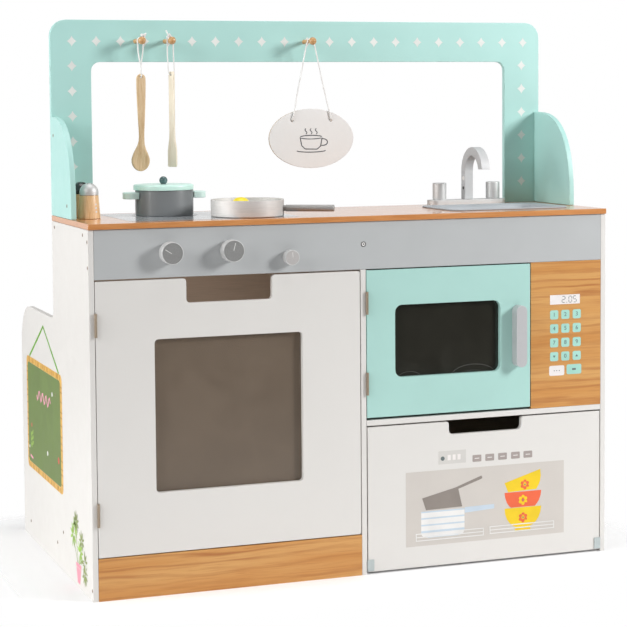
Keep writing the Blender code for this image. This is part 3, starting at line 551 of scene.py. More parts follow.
def loop_route(x, down):
    """From the knot down through the hole and back over the peg. Points are (x offset, depth offset, height)."""
    points = [(0.0056, 0, PEG_HEIGHT + 0.004), (0.0054, 0, PEG_HEIGHT), *down]
    return [(x + u, HANG + v, w) for u, v, w in points] + over_peg(x, 180, 82)


def spoon_route(x, hole):
    low = PEG_HEIGHT - 0.02
    down = [(0.004, 0.001, low), (0.0008, 0.0055, hole + 0.013)]
    down += [(0, v, w) for v, w in through_hole(0.0028, hole)]
    return loop_route(x, down + [(-0.0008, -0.0055, hole + 0.013), (-0.004, -0.001, low)])


def spatula_route(x, hole):
    low = PEG_HEIGHT - 0.02
    hole_route = [(0.0014 + u, 0, w) for u, w in through_hole(0.0019, hole)]
    return loop_route(x, [(0.0052, 0, low), *hole_route, (-0.0052, 0, low)])


def sign_route(x):
    reach, height = SIGN_REACH, 0.7428
    side = [
        (reach, 0.0055, height - 0.0005), (reach, 0.0022, height), (reach, -0.0022, height),
        (reach - 0.0006, -0.0038, height + 0.003), (reach - 0.003, -0.0038, height + 0.014),
        (reach - 0.005, -0.0034, height + 0.022), (reach - 0.01, -0.001, height + 0.045),
        (0.0184, 0.0, height + 0.078), (0.0068, 0.0, PEG_HEIGHT - 0.004),
    ]
    left = [(x - u, HANG + v, w) for u, v, w in side]
    return left + over_peg(x, 160, 20) + [(x + u, HANG + v, w) for u, v, w in reversed(side)]


def smooth_route(points, step=0.0055):
    route = [Vector(p) for p in points]
    route = [route[0] * 2 - route[1], *route, route[-1] * 2 - route[-2]]
    found = []
    for a, b, c, d in zip(route, route[1:], route[2:], route[3:]):
        pieces = max(1, round((c - b).length / step))
        for i in range(pieces):
            t = i / pieces
            bend = (2 * a - 5 * b + 4 * c - d) * t * t + (3 * b - a - 3 * c + d) * t**3
            found.append(0.5 * (2 * b + (c - a) * t + bend))
    return [p + Vector((0, FRONT, 0)) for p in found + [route[-2]]]


def tube(name, points, radius, body, closed=False):
    shape = bpy.data.curves.new(name, "CURVE")
    shape.dimensions = "3D"
    shape.bevel_depth = radius
    shape.bevel_resolution = 4
    shape.use_fill_caps = True
    add_spline(shape, points, closed).use_smooth = True
    return place_piece(bpy.data.objects.new(name, shape), COTTON, body)


def knot(name, place, body, turn=0.0):
    """A tied overhand knot: a trefoil of the same cord."""
    points = []
    for i in range(54):
        t = tau * i / 54
        p = Vector((sin(t) + 2 * sin(2 * t), 1.1 * sin(3 * t), cos(t) - 2 * cos(2 * t))) * 0.0014
        points.append(Matrix.Rotation(turn, 3, "Y") @ p + Vector(at(*place)))
    return tube(name, points, CORD * 0.95, body, closed=True)


def make_cords():
    left, middle, right = PEG_X
    cords = (
        ("spoon", spoon_route(left, SPOON_HOLE), left + 0.0052, 0.0078, 0.0, ((0.003, 0.002), (0.0048, 0.005))),
        (
            "spatula", spatula_route(middle, SPATULA_HOLE), middle - 0.0012, 0.007, pi,
            ((-0.0032, 0.005), (-0.006, 0.0102)),
        ),
        ("sign", sign_route(right), right, None, 0.0, ()),
    )
    for body, points, x, rise, turn, tail in cords:
        name = body + "_cord"
        route = smooth_route(points)
        line = tube(name + "_line", route, CORD, body)
        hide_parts(name)
        if tail:
            place = (x, HANG, PEG_HEIGHT + rise)
            ends = [knot(name + "_knot", place, body, turn)]
            points = [place] + [(x + u, HANG, place[2] + v) for u, v in tail]
            ends.append(tube(name + "_tail", smooth_route(points, 0.0015), CORD, body))
        else:
            ends = [
                knot(f"{name}_knot_{word}", (x + side * SIGN_REACH, HANG + 0.0062, 0.742), body)
                for word, side in SIDES
            ]


make_cords()


# CAD boards that stay


def shade_smooth_group():
    group = bpy.data.node_groups.new("shade_smooth", "GeometryNodeTree")
    group.interface.new_socket("Geometry", in_out="INPUT", socket_type="NodeSocketGeometry")
    group.interface.new_socket("Geometry", in_out="OUTPUT", socket_type="NodeSocketGeometry")
    start = group.nodes.new("NodeGroupInput")
    smooth = group.nodes.new("GeometryNodeSetShadeSmooth")
    end = group.nodes.new("NodeGroupOutput")
    group.links.new(start.outputs[0], smooth.inputs[0])
    group.links.new(smooth.outputs[0], end.inputs[0])
    return group


SMOOTH = shade_smooth_group()


def soften(name, mat, edge, segments, angle=40):
    """Gives a CAD piece its finish and eased edges."""
    piece = nodes[name]
    for slot in piece.material_slots:
        slot.link = "OBJECT"
        slot.material = mat
    weld = piece.modifiers.new("weld", "WELD")
    weld.merge_threshold = 0.00001
    bevel = piece.modifiers.new("eased_edges", "BEVEL")
    bevel.width = edge
    bevel.segments = segments
    bevel.limit_method = "ANGLE"
    bevel.angle_limit = radians(angle)
    smooth = piece.modifiers.new("smooth", "NODES")
    smooth.node_group = SMOOTH
    normals = piece.modifiers.new("normals", "WEIGHTED_NORMAL")
    normals.weight = 90


def finish_boards():
    white = "left_side_panel right_side_panel partition oven_floor microwave_shelf bench_apron bench_lid"
    finishes = (
        (white + " oven_door dishwasher_door", WHITE, 0.0007, 2),
        ("serving_frame left_wing right_wing", MINT, 0.0009, 3),
        ("microwave_door", DOOR_MINT, 0.0009, 3),
        ("kick_panel microwave_control_panel", OAK, 0.0004, 2),
        ("control_fascia", GREY, 0.0007, 2),
        ("countertop", COUNTER_WOOD, 0.0008, 3),
        ("kitchen_back_panel", RAW, 0.0003, 2),
        ("oven_window", OVEN_PANE_PAINTED_LIGHT, 0.0003, 2),
        ("microwave_window", SMOKED, 0.0003, 2),
        ("microwave_handle", HANDLE_SILVER, 0.0022, 5),
        ("dishwasher_pivot_left dishwasher_pivot_right", FROSTED, 0.0005, 2),
        ("faucet_base", SILVER, 0.0012, 4),
        ("faucet_spout", SPOUT_SILVER, 0.0007, 3),
        ("spatula", SPATULA_WOOD, 0.0008, 3),
        ("sign", SIGN, 0.0006, 3),
    )
    for names, mat, edge, segments in finishes:
        for name in names.split():
            soften(name, mat, edge, segments)
    for word, _ in SIDES:
        soften(f"pot_handle_{word}", GRIP_MINT, 0.002, 4, 50)
    for door in ("oven", "microwave"):
        for word in ("lower", "upper"):
            for leaf in ("frame", "door"):
                soften(f"{door}_hinge_{word}_{leaf}_leaf", HINGE, 0.0001, 1, 50)


finish_boards()


# Turned and moulded pieces


def make_knobs():
    looks = (
        ("left", -0.3208, 0.542, 0.0175, 0.022, KNOB_FACE, ((-0.0118, 0.0062), (-0.0016, -0.0004))),
        ("middle", -0.2211, 0.5423, 0.0175, 0.022, KNOB_FACE, ((0.0028, 0.0126), (-0.0004, 0.0008))),
        ("right", -0.122, 0.528, 0.0122, 0.017, KNOB_FACE_LIGHT, ((0.0002, 0.0086), (0.0008, 0.0008))),
    )
    behind = -(BOARD + 0.0006)
    for word, x, z, radius, length, mat, mark in looks:
        body = f"knob_{word}"
        corners = [
            (0, behind - 0.002), (0.006, behind - 0.002), (0.006, behind), (0.0032, behind), (0.0032, 0.0005),
            (radius * 0.92, 0.0005), (radius * 0.92, 0.003), (radius, 0.0042, 0.0006), (radius, length, 0.0007),
            (radius - 0.001, length, 0.0002), (radius - 0.0011, length - 0.0003), (0, length - 0.0003),
        ]
        skirt = turned(f"{body}_skirt", fillet(corners), SILVER, body, at(x, 0, z), FORWARD, 72)
        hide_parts(body)
        face = disc(radius - 0.0012, 0.0003)
        turned(f"{body}_face", face, mat, body, at(x, 0.0003 - length, z), FORWARD)
        ends = [(x + u, z + v) for u, v in mark]
        decal(f"{body}_mark", [stroke(ends, 0.0009)], "front", -length, MARK_INK, body)


def make_taps():
    x, y = FAUCET
    corners = [
        (0, -0.0095), (0.0032, -0.0095), (0.0032, 0), (0.0116, 0), (0.0116, 0.0012), (0.0123, 0.0016, 0.0003),
        (0.0123, 0.0298, 0.0014), (0.0104, 0.0298, 0.0003), (0.01, 0.0295), (0, 0.0295),
    ]
    for word, side in SIDES:
        body = f"tap_{word}"
        spot = at(x + side * 0.052, y, FOOT + 0.0095 + 0.0003)
        piece = turned(f"{body}_cap", fillet(corners), SILVER, body, spot)
        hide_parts(body)
    side = x + 0.0018 - 0.0079
    # The hole is a flat disc of painted shade on the stem, beside a white cap
    for name, z, radius, mat in (("cap", 0.6375, 0.0042, WHITE), ("hole", 0.6201, 0.0027, RECESS_SHADE)):
        profile = fillet([(0, 0), (radius, 0), (radius, 0.0005, 0.0003), (0, 0.0005)])
        spot = at(side + 0.0001, 0.215, z)
        turned(f"spout_{name}", profile, mat, "carcass", spot, (0, -pi / 2, 0), 32)


def make_pegs():
    foot = [(0, 0), (SHANK + 0.0006, 0), (SHANK + 0.0004, 0.0004), (SHANK, 0.001)]
    profile = foot + arc((0, 0.0417), 0.0066, -60, 90, 18)
    for word, x in zip(("left", "middle", "right"), PEG_X):
        name = f"peg_{word}"
        spot = at(x, BACK_PANEL - 0.0003, PEG_HEIGHT)
        peg = turned(f"{name}_dowel", profile, PEG_WOOD, "carcass", spot, FORWARD, 40)
        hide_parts(name)


def make_pot():
    x, y = POT
    radius, high, wall = 0.048, 0.0418, 0.003
    corners = [
        (0, 0.0006), (radius - 0.008, 0.0006), (radius - 0.0075, 0), (radius - 0.0045, 0),
        (radius - 0.0003, 0.0002, 0.0012), (radius, 0.01), (radius, high, 0.001),
        (radius - wall, high, 0.001), (radius - wall, 0.004, 0.004), (0, 0.004),
    ]
    shell = turned("pot_shell", fillet(corners), POT_GREY, "pot", at(x, y, FOOT), steps=96)
    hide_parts("pot")
    liner = [(0, 0), (radius - wall - 0.0045, 0), (radius - wall - 0.0046, 0.0003), (0, 0.0003)]
    turned("pot_liner", liner, POT_INSIDE, "pot", at(x, y, FOOT + 0.0041))
    rivet = fillet([(0, 0), (0.0016, 0), (0.0016, 0.0009, 0.0006), (0, 0.0011)])
    for word, side in SIDES:
        for k, v in enumerate((-0.0085, 0.0085)):
            spot = at(x + side * (radius - wall + 0.0001), y + v, FOOT + 0.0332)
            turned(f"pot_rivet_{word}_{k}", rivet, SILVER, "pot", spot, (0, -side * pi / 2, 0), 20)
    x -= 0.0012
    top = FOOT + high + 0.0003
    edge, thick = 0.0496, 0.009
    corners = [
        (0, -0.002), (0.04, -0.002, 0.0005), (0.04, 0), (edge, 0, 0.0008), (edge, thick - 0.0004, 0.0026),
        (edge - 0.0045, thick, 0.001), (0, thick),
    ]
    lid = turned("lid_disc", fillet(corners), LID_MINT, "pot_lid", at(x, y, top), steps=96)
    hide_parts("pot_lid")
    ball = [(0, 0), (0.0044, 0), (0.004, 0.0008)] + arc((0, 0.0058), 0.0068, -52, 90, 19)
    spot = at(x, y, top + thick + 0.0003)
    grip = turned("lid_ball", ball, LID_KNOB, "pot_lid", spot, steps=40)
    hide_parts("pot_lid_knob")


def make_pan():
    x, y = PAN
    radius, high, wall = 0.0598, 0.0274, 0.0022
    corners = [
        (0, 0.0004), (radius - 0.006, 0.0004), (radius - 0.0055, 0), (radius - 0.003, 0),
        (radius - 0.0002, 0.0006, 0.0014), (radius - 0.0002, 0.006), (radius, high, 0.0008),
        (radius - wall, high, 0.0008), (radius - wall, 0.0035, 0.005), (0, 0.0035),
    ]
    pan = turned("pan_shell", fillet(corners), PAN_SILVER, "pan", at(x, y, FOOT), steps=120)
    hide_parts("pan")
    start, length, grip = radius + 0.0006, 0.0828, 0.0055
    corners = [
        (0, 0), (0.0052, 0), (0.0052, 0.0006, 0.0003), (0.0046, 0.0009), (0.0046, 0.003), (grip, 0.0034, 0.0004),
        (grip, length, 0.0012), (0, length),
    ]
    turn = radians(-30)
    spot = at(x + start * cos(turn), y + start * sin(turn), FOOT + 0.0129)
    bar = turned("pan_bar", fillet(corners), BAR_GREY, "pan", spot, (0, pi / 2, turn), 40)
    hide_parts("pan_handle")


def make_egg():
    """A flat, wavy white with a smooth rounded lip, and the yolk standing in it."""
    sections = (
        (1.0, 0.0), (1.04, 0.0014), (1.03, 0.0036), (0.97, 0.0058), (0.86, 0.0076), (0.72, 0.0086), (0.55, 0.009),
        (0.3, 0.0092),
    )
    bm = bmesh.new()
    loops = []
    for share, z in sections:
        loops.append([])
        for i in range(64):
            a = tau * i / 64
            wave = 0.0324 + 0.0014 * sin(3 * a + 0.6) + 0.0008 * sin(5 * a + 2.0)
            loops[-1].append(bm.verts.new((wave * share * cos(a), wave * share * sin(a), z)))
    skin(bm, loops)
    bm.faces.new(loops[0][::-1])
    bm.faces.new(loops[-1])
    place = at(PAN[0] - 0.0105, PAN[1] + 0.002, FOOT + 0.0038)
    white = mesh_piece("egg_white_skin", bm, EGG_WHITE, "fried_egg", place, sharp=60)
    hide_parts("fried_egg")
    profile = [(0, 0.0085), (0.015, 0.0085)]
    for i in range(15):
        a = radians(90 * i / 14)
        profile.append((0.0158 * cos(a) ** 0.8, 0.0108 + 0.0162 * sin(a)))
    turned("egg_yolk_dome", profile, EGG_YOLK, "fried_egg", place, steps=56, sharp=60)


def make_shakers():
    looks = (
        ("salt", (-0.4146, 0.135), SILVER, "silver_paint"),
        ("pepper", (-0.4161, 0.185), BLACK, "black_paint"),
    )
    corners = [
        (0, 0.0004), (0.015, 0.0004), (0.0153, 0), (0.0181, 0, 0.0008), (0.0181, 0.0014, 0.0008),
        (0.0153, 0.0375, 0.0006), (0, 0.0375),
    ]
    dome = [(0, 0), (0.015, 0), (0.0153, 0.0004), (0.0153, 0.0045)] + arc((0, 0.0045), (0.0153, 0.015), 0, 90, 14)[1:]
    for name, (x, y), cap_mat, cap_slot in looks:
        body = f"{name}_shaker"
        wood = turned(f"{name}_wood", fillet(corners), SHAKER_WOOD, body, at(x, y, FOOT))
        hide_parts(body)
        top = FOOT + 0.0375 + 0.0003
        cap = turned(f"{name}_dome", dome, cap_mat, body, at(x, y, top))
        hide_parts(f"{name}_cap")
        # The holes in the cap are flat discs of painted shade, not openings
        spots = [(0, 0)] + [(radians(24), tau * i / 6) for i in range(6)]
        for i, (lean, spin) in enumerate(spots):
            out = Vector((sin(lean) * cos(spin), sin(lean) * sin(spin), cos(lean)))
            centre = Vector(at(x, y, top + 0.0045)) + out * 0.01498
            turned(f"{name}_hole_{i}", disc(0.00095, 0.0002), RECESS_SHADE, body, centre, (0, lean, spin), 16)
        for i in range(3):
            z = 0.0112 + 0.006 * i
            out = 0.0181 - 0.0028 * (z - 0.0014) / 0.0361 - 0.00005
            turn = radians(-62)
            centre = at(x + out * cos(turn), y + out * sin(turn), FOOT + z)
            dot = [(0, 0), (0.0017, 0), (0.0016, 0.0002), (0, 0.00025)]
            turned(f"{name}_dot_{i}", dot, WHITE_INK, body, centre, (0, pi / 2, turn), 20)


def make_spoon():
    """A dished bowl, a thin neck and a handle that widens to its round end."""
    x, thick, top, around = PEG_X[0], 0.00275, 0.8236, 40
    stations = []
    for turn in (86, 70, 50, 30, 12):
        a = radians(turn)
        stations.append((top - 0.008 * (1 - sin(a)), 0.008 * cos(a), 0.0, 0.0, 0.75 + 0.25 * cos(a)))
    for z, half, slide, deep in (
        (0.814, 0.008, 0, 0), (0.806, 0.008, 0, 0), (0.7996, 0.0079, 0, 0), (0.785, 0.0075, 0, 0),
        (0.77, 0.0069, 0, 0), (0.7536, 0.0062, 0, 0), (0.737, 0.0053, 0, 0), (0.726, 0.0047, 0, 0),
        (0.719, 0.0046, 0, 0), (0.712, 0.005, -0.0003, 0), (0.706, 0.0061, -0.001, 0), (0.701, 0.0081, -0.0016, 0),
        (0.696, 0.0103, -0.0022, 0.1), (0.691, 0.0128, -0.0022, 0.45), (0.6856, 0.0147, -0.0022, 0.8),
    ):
        stations.append((z, half, slide, deep, 1.0))
    for turn, deep in ((6, 1.0), (-10, 1.0), (-25, 0.9), (-40, 0.65), (-54, 0.35), (-67, 0.1), (-78, 0), (-86, 0)):
        a = radians(turn)
        stations.append((0.6795 + 0.0178 * sin(a), 0.0159 * cos(a), -0.0022, deep, 0.7 + 0.3 * cos(a)))
    bm = bmesh.new()
    loops = []
    for z, half, slide, deep, body in stations:
        loops.append([])
        for i in range(around):
            a = tau * i / around
            u, v = bent(cos(a), 0.8), bent(sin(a), 0.8)
            sag = 0.0029 * deep * max(0.0, 1 - (u / 0.86) ** 2) if v < 0 else 0.0
            loops[-1].append(bm.verts.new((x + slide + half * u, FRONT + HANG + thick * body * v + sag, z)))
    skin(bm, loops)
    bm.faces.new(loops[0])
    bm.faces.new(loops[-1][::-1])
    spoon = mesh_piece("spoon_blade", bm, SPOON_WOOD, "spoon", sharp=60)
    drill = bmesh.new()
    bmesh.ops.create_cone(drill, cap_ends=True, segments=28, radius1=0.0022, radius2=0.0022, depth=0.02)
    cutter = bpy.data.objects.new("drill", to_mesh("drill", drill))
    cutter.location, cutter.rotation_euler = at(x, HANG, SPOON_HOLE), FORWARD
    link(cutter)
    cut = spoon.modifiers.new("hole", "BOOLEAN")
    cut.object = cutter
    cut.solver = "EXACT"
    bpy.context.view_layer.update()
    done = bpy.data.meshes.new_from_object(spoon.evaluated_get(bpy.context.evaluated_depsgraph_get()))
    spoon.modifiers.clear()
    spoon.data = done
    done.shade_smooth()
    done.set_sharp_from_angle(angle=radians(50))
    bpy.data.objects.remove(cutter)
    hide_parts("spoon")


def make_sink():
    """A pressed basin with a rolled rim, soft corners and a drain."""
    left, front, right, back = SINK
    low, high = FOOT, 0.5925
    floor = high - 0.042
    inside = [
        (0.0004, low, 0.0216), (0.0, low + 0.0006, 0.022), (0.0, high - 0.0012, 0.022),
        (0.0004, high - 0.0005, 0.0217), (0.0012, high, 0.0212), (0.0022, high - 0.0002, 0.021),
        (0.015, high - 0.001, 0.015), (0.0165, high - 0.0014, 0.0142), (0.018, high - 0.0028, 0.0136),
        (0.019, high - 0.006, 0.013), (0.0225, high - 0.021, 0.0125), (0.026, floor + 0.006, 0.012),
        (0.0275, floor + 0.0026, 0.0112), (0.0305, floor + 0.0008, 0.01), (0.0345, floor, 0.008),
    ]
    below = [
        (0.033, floor - 0.0015, 0.008), (0.029, floor - 0.0004, 0.01), (0.0248, floor + 0.0052, 0.012),
        (0.0165, low + 0.0002, 0.014),
    ]
    bm = bmesh.new()
    inside, below = (
        [
            [
                bm.verts.new((u, v, z))
                for u, v in rounded((left + inset, front + inset, right - inset, back - inset), radius, 10)
            ]
            for inset, z, radius in rings
        ]
        for rings in (inside, below)
    )
    skin(bm, inside)
    bm.faces.new(inside[-1])
    skin(bm, below + inside[:1])
    bm.faces.new(below[0])
    basin = mesh_piece("sink_shell", bm, SINK_MAT, "carcass", at(0, 0, 0), sharp=50)
    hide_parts("sink_basin")
    x, y = (left + right) / 2, (front + back) / 2
    corners = [
        (0, -0.0001), (0.0135, -0.0001), (0.0135, 0.0008, 0.0005), (0.0105, 0.0008, 0.0004), (0.01, 0.0003), (0, 0.0003)
    ]
    turned("drain_ring", fillet(corners), SILVER, "carcass", at(x, y, floor))
    # The drain holes are flat discs of painted shade on the basin floor
    turns = [tau * i / 6 for i in range(6)]
    holes = [shift(circle((0, 0), 0.0015, 16), x + 0.0058 * cos(a), y + 0.0058 * sin(a)) for a in turns]
    decal("drain_holes", holes, "top", floor + 0.0003, RECESS_SHADE, "carcass")


make_knobs()
make_taps()
make_pegs()
make_pot()
make_pan()
make_egg()
make_shakers()
make_spoon()
make_sink()


# Prints, and painted reflections on the microwave pane


def star(x, z):
    turns = [tau * i / 32 for i in range(32)]
    return [(x + 0.0086 * bent(cos(a), 2.7), z + 0.0095 * bent(sin(a), 2.7)) for a in turns]


def print_stars():
    loops = [star(-0.4134 + 0.8315 * i / 20, 0.8785) for i in range(21)]
    loops += [star(x, 0.8793 - 0.0418 * k) for x in (-0.4138, 0.4152) for k in range(1, 7)]
    decal("frame_stars", loops, "front", BACK_PANEL, STAR_INK, "carcass")


def leaf(u, v, length, width, turn):
    half = [(length * t / 6, width * sin(pi * t / 6) * (1 - 0.25 * t / 6)) for t in range(7)]
    return shift(half + [(a, -b) for a, b in half[-2:0:-1]], u, v, turn)


def fronds(u, v, count, size, start, end):
    """Leaves that fan out round a point."""
    turns = [start + (end - start) * k / (count - 1) for k in range(count)]
    out = [(u + 0.0022 * cos(radians(turn)), v + 0.0022 * sin(radians(turn))) for turn in turns]
    return [leaf(*place, size, size * 0.17, turn) for place, turn in zip(out, turns)]


def side_print(name, loops, mat, layer=0):
    decal(name, loops, "left", LEFT_FACE, mat, "carcass", layer)


def print_chalkboard():
    low, high, front, back = 0.128, 0.328, 0.2, 0.485
    outer = rounded((front, low, back, high), 0.012)
    inner = rounded((front + 0.0135, low + 0.0105, back - 0.0095, high - 0.0105), 0.008)
    side_print("chalkboard_frame", [outer, inner], FRAME_INK)
    field = rounded((front + 0.0138, low + 0.0108, back - 0.0098, high - 0.0108), 0.008)
    side_print("chalkboard_field", [field], CHALK_GREEN)
    streaks = []
    for k in range(18):
        u = front + 0.014 + 0.015 * k + 0.0035 * sin(2.4 * k)
        wide = 0.0019 + 0.0008 * sin(1.7 * k)
        streaks.append(stroke([(u, high - 0.0008), (u + 0.0012, high - 0.0098)], wide))
        streaks.append(stroke([(u + 0.004, low + 0.0008), (u + 0.0052, low + 0.0098)], wide))
    for k in range(13):
        v = low + 0.016 + 0.0138 * k + 0.003 * sin(1.9 * k)
        streaks.append(stroke([(front + 0.0008, v), (front + 0.0128, v + 0.0008)], 0.0014))
        streaks.append(stroke([(back - 0.009, v), (back - 0.0008, v + 0.0006)], 0.0013))
    side_print("chalkboard_grain", streaks, GRAIN_INK, 1)
    side_print("chalkboard_string", [stroke([(0.222, 0.3285), (0.34, 0.394), (0.458, 0.3285)], 0.005)], STRING_INK)
    wave = [(0.29 + 0.011 * i / 2, 0.268 + 0.0085 * sin(i * 1.25)) for i in range(21)]
    swirls = [stroke(wave, 0.0048), stroke([(0.44, 0.1475), (0.462, 0.1505)], 0.004)]
    side_print("chalk_wave", swirls, PINK_INK, 1)
    dots = [circle((0.275, 0.286), 0.004, 14), circle((0.318, 0.178), 0.0042, 14), circle((0.468, 0.165), 0.003, 14)]
    side_print("chalk_dots", dots, WHITE_INK, 1)
    side_print("chalk_spots", [circle((0.231, 0.181), 0.0058, 16), circle((0.4475, 0.2065), 0.0038, 12)], RED_INK, 1)
    sprigs = []
    for k in range(6):
        side = 1 if k % 2 else -1
        sprigs.append(leaf(0.446 - side * 0.0015, 0.166 + 0.0048 * k, 0.012, 0.0028, 90 + side * 42))
    side_print("chalk_sprig", sprigs, LEAF_INK, 1)


def print_plant():
    pot = [(0.088, 0.007), (0.1045, 0.007), (0.112, 0.031), (0.0805, 0.031)]
    rim = [(0.079, 0.032), (0.1135, 0.032), (0.114, 0.0385), (0.0785, 0.0385)]
    side_print("plant_pot", [pot, rim], POT_PINK)
    stems = [
        [(0.099, 0.039), (0.107, 0.064), (0.11, 0.098)], [(0.094, 0.039), (0.084, 0.056), (0.073, 0.078)],
        [(0.091, 0.039), (0.074, 0.048), (0.058, 0.052)], [(0.103, 0.039), (0.119, 0.06), (0.131, 0.076)],
    ]
    side_print("plant_stems", [stroke(s, 0.0019) for s in stems], DARK_LEAF_INK)
    light = ((0.13, 0.079, 9, 0.02, -20, 290), (0.118, 0.093, 7, 0.016, 10, 250), (0.084, 0.059, 8, 0.018, 20, 290))
    side_print("plant_leaves", [frond for fan in light for frond in fronds(*fan)], LEAF_INK, 1)
    dark = (
        (0.11, 0.104, 9, 0.017, -60, 240), (0.073, 0.08, 8, 0.016, -40, 240), (0.056, 0.048, 9, 0.02, 100, 350),
        (0.053, 0.03, 7, 0.017, 130, 340),
    )
    side_print("plant_dark_leaves", [frond for fan in dark for frond in fronds(*fan)], DARK_LEAF_INK, 1)


def print_hob():
    glass = rounded((-0.373, 0.03, -0.09, 0.235), 0.012)
    decal("hob_glass", [glass], "top", COUNTER, HOB, "carcass")
    loops = []
    for centre, radii in ((POT, (0.052, 0.0545)), (PAN, (0.041, 0.044))):
        for radius in radii:
            loops += [circle(centre, radius + 0.0005, 64), circle(centre, radius - 0.0005, 64)]
    decal("hob_rings", loops, "top", COUNTER, RING_INK, "carcass", 1)


SEGMENTS = {
    "a": ((0, 2), (1, 2)), "b": ((1, 2), (1, 1)), "c": ((1, 1), (1, 0)), "d": ((0, 0), (1, 0)),
    "e": ((0, 1), (0, 0)), "f": ((0, 2), (0, 1)), "g": ((0, 1), (1, 1)),
}
LIT = {"0": "abcdef", "2": "abged", "5": "afgcd"}


def lcd_digit(char, x, z):
    """Seven-segment strokes with their low left corner at (x, z)."""
    wide, high, weight = 0.0056, 0.0104, 0.001
    loops = []
    for key in LIT[char]:
        a, b = (Vector((x + p[0] * wide, z + p[1] * high / 2)) for p in SEGMENTS[key])
        run = (b - a).normalized() * weight * 0.75
        loops.append(stroke([a + run, b - run], weight))
    return loops


def print_keypad():
    panel = "microwave_control_panel"
    low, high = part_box(panel)
    face = low.y - FRONT

    def flat(name, loops, mat, layer=0):
        decal(name, loops, "front", face, mat, "carcass", layer)

    flat("keypad_display", [rect(0.3445, 0.43, 0.401, 0.446)], DISPLAY_INK)
    loops = []
    for char, x in (("2", 0.3672), ("0", 0.38), ("5", 0.3885)):
        loops += lcd_digit(char, x, 0.4328)
    flat("keypad_readout", loops + [circle((0.3762, 0.433), 0.0007, 10)], DIGIT_INK, 1)
    columns, rows = (0.3524, 0.3735, 0.3952), (0.4125, 0.389, 0.365, 0.3415)
    keys = [rounded((x - 0.00775, z - 0.00775, x + 0.00775, z + 0.00775), 0.003) for z in rows for x in columns]
    flat("keypad_keys", keys + [rounded((0.376, 0.31, 0.404, 0.3268), 0.003)], MINT_INK)
    flat("keypad_pill", [rounded((0.343, 0.309, 0.3716, 0.326), 0.003)], DISPLAY_INK)
    for i in range(9):
        label(f"keypad_digit_{i + 1}", str(i + 1), columns[i % 3], rows[i // 3], face)
    label("keypad_digit_0", "0", columns[1], rows[3], face)
    arrows = (
        [(-0.0024, 0.0018), (0, -0.0022), (0.0024, 0.0018)], [(-0.0024, -0.0018), (0.0024, -0.0018), (0, 0.0022)]
    )
    loops = [shift(a, x, rows[3]) for a, x in zip(arrows, (columns[0], columns[2]))]
    loops += [circle((0.3573 + 0.0048 * (k - 1), 0.3175), 0.0009, 10) for k in range(3)]
    flat("keypad_marks", loops + [rect(0.3865, 0.3168, 0.3935, 0.32)], DIGIT_INK, 1)


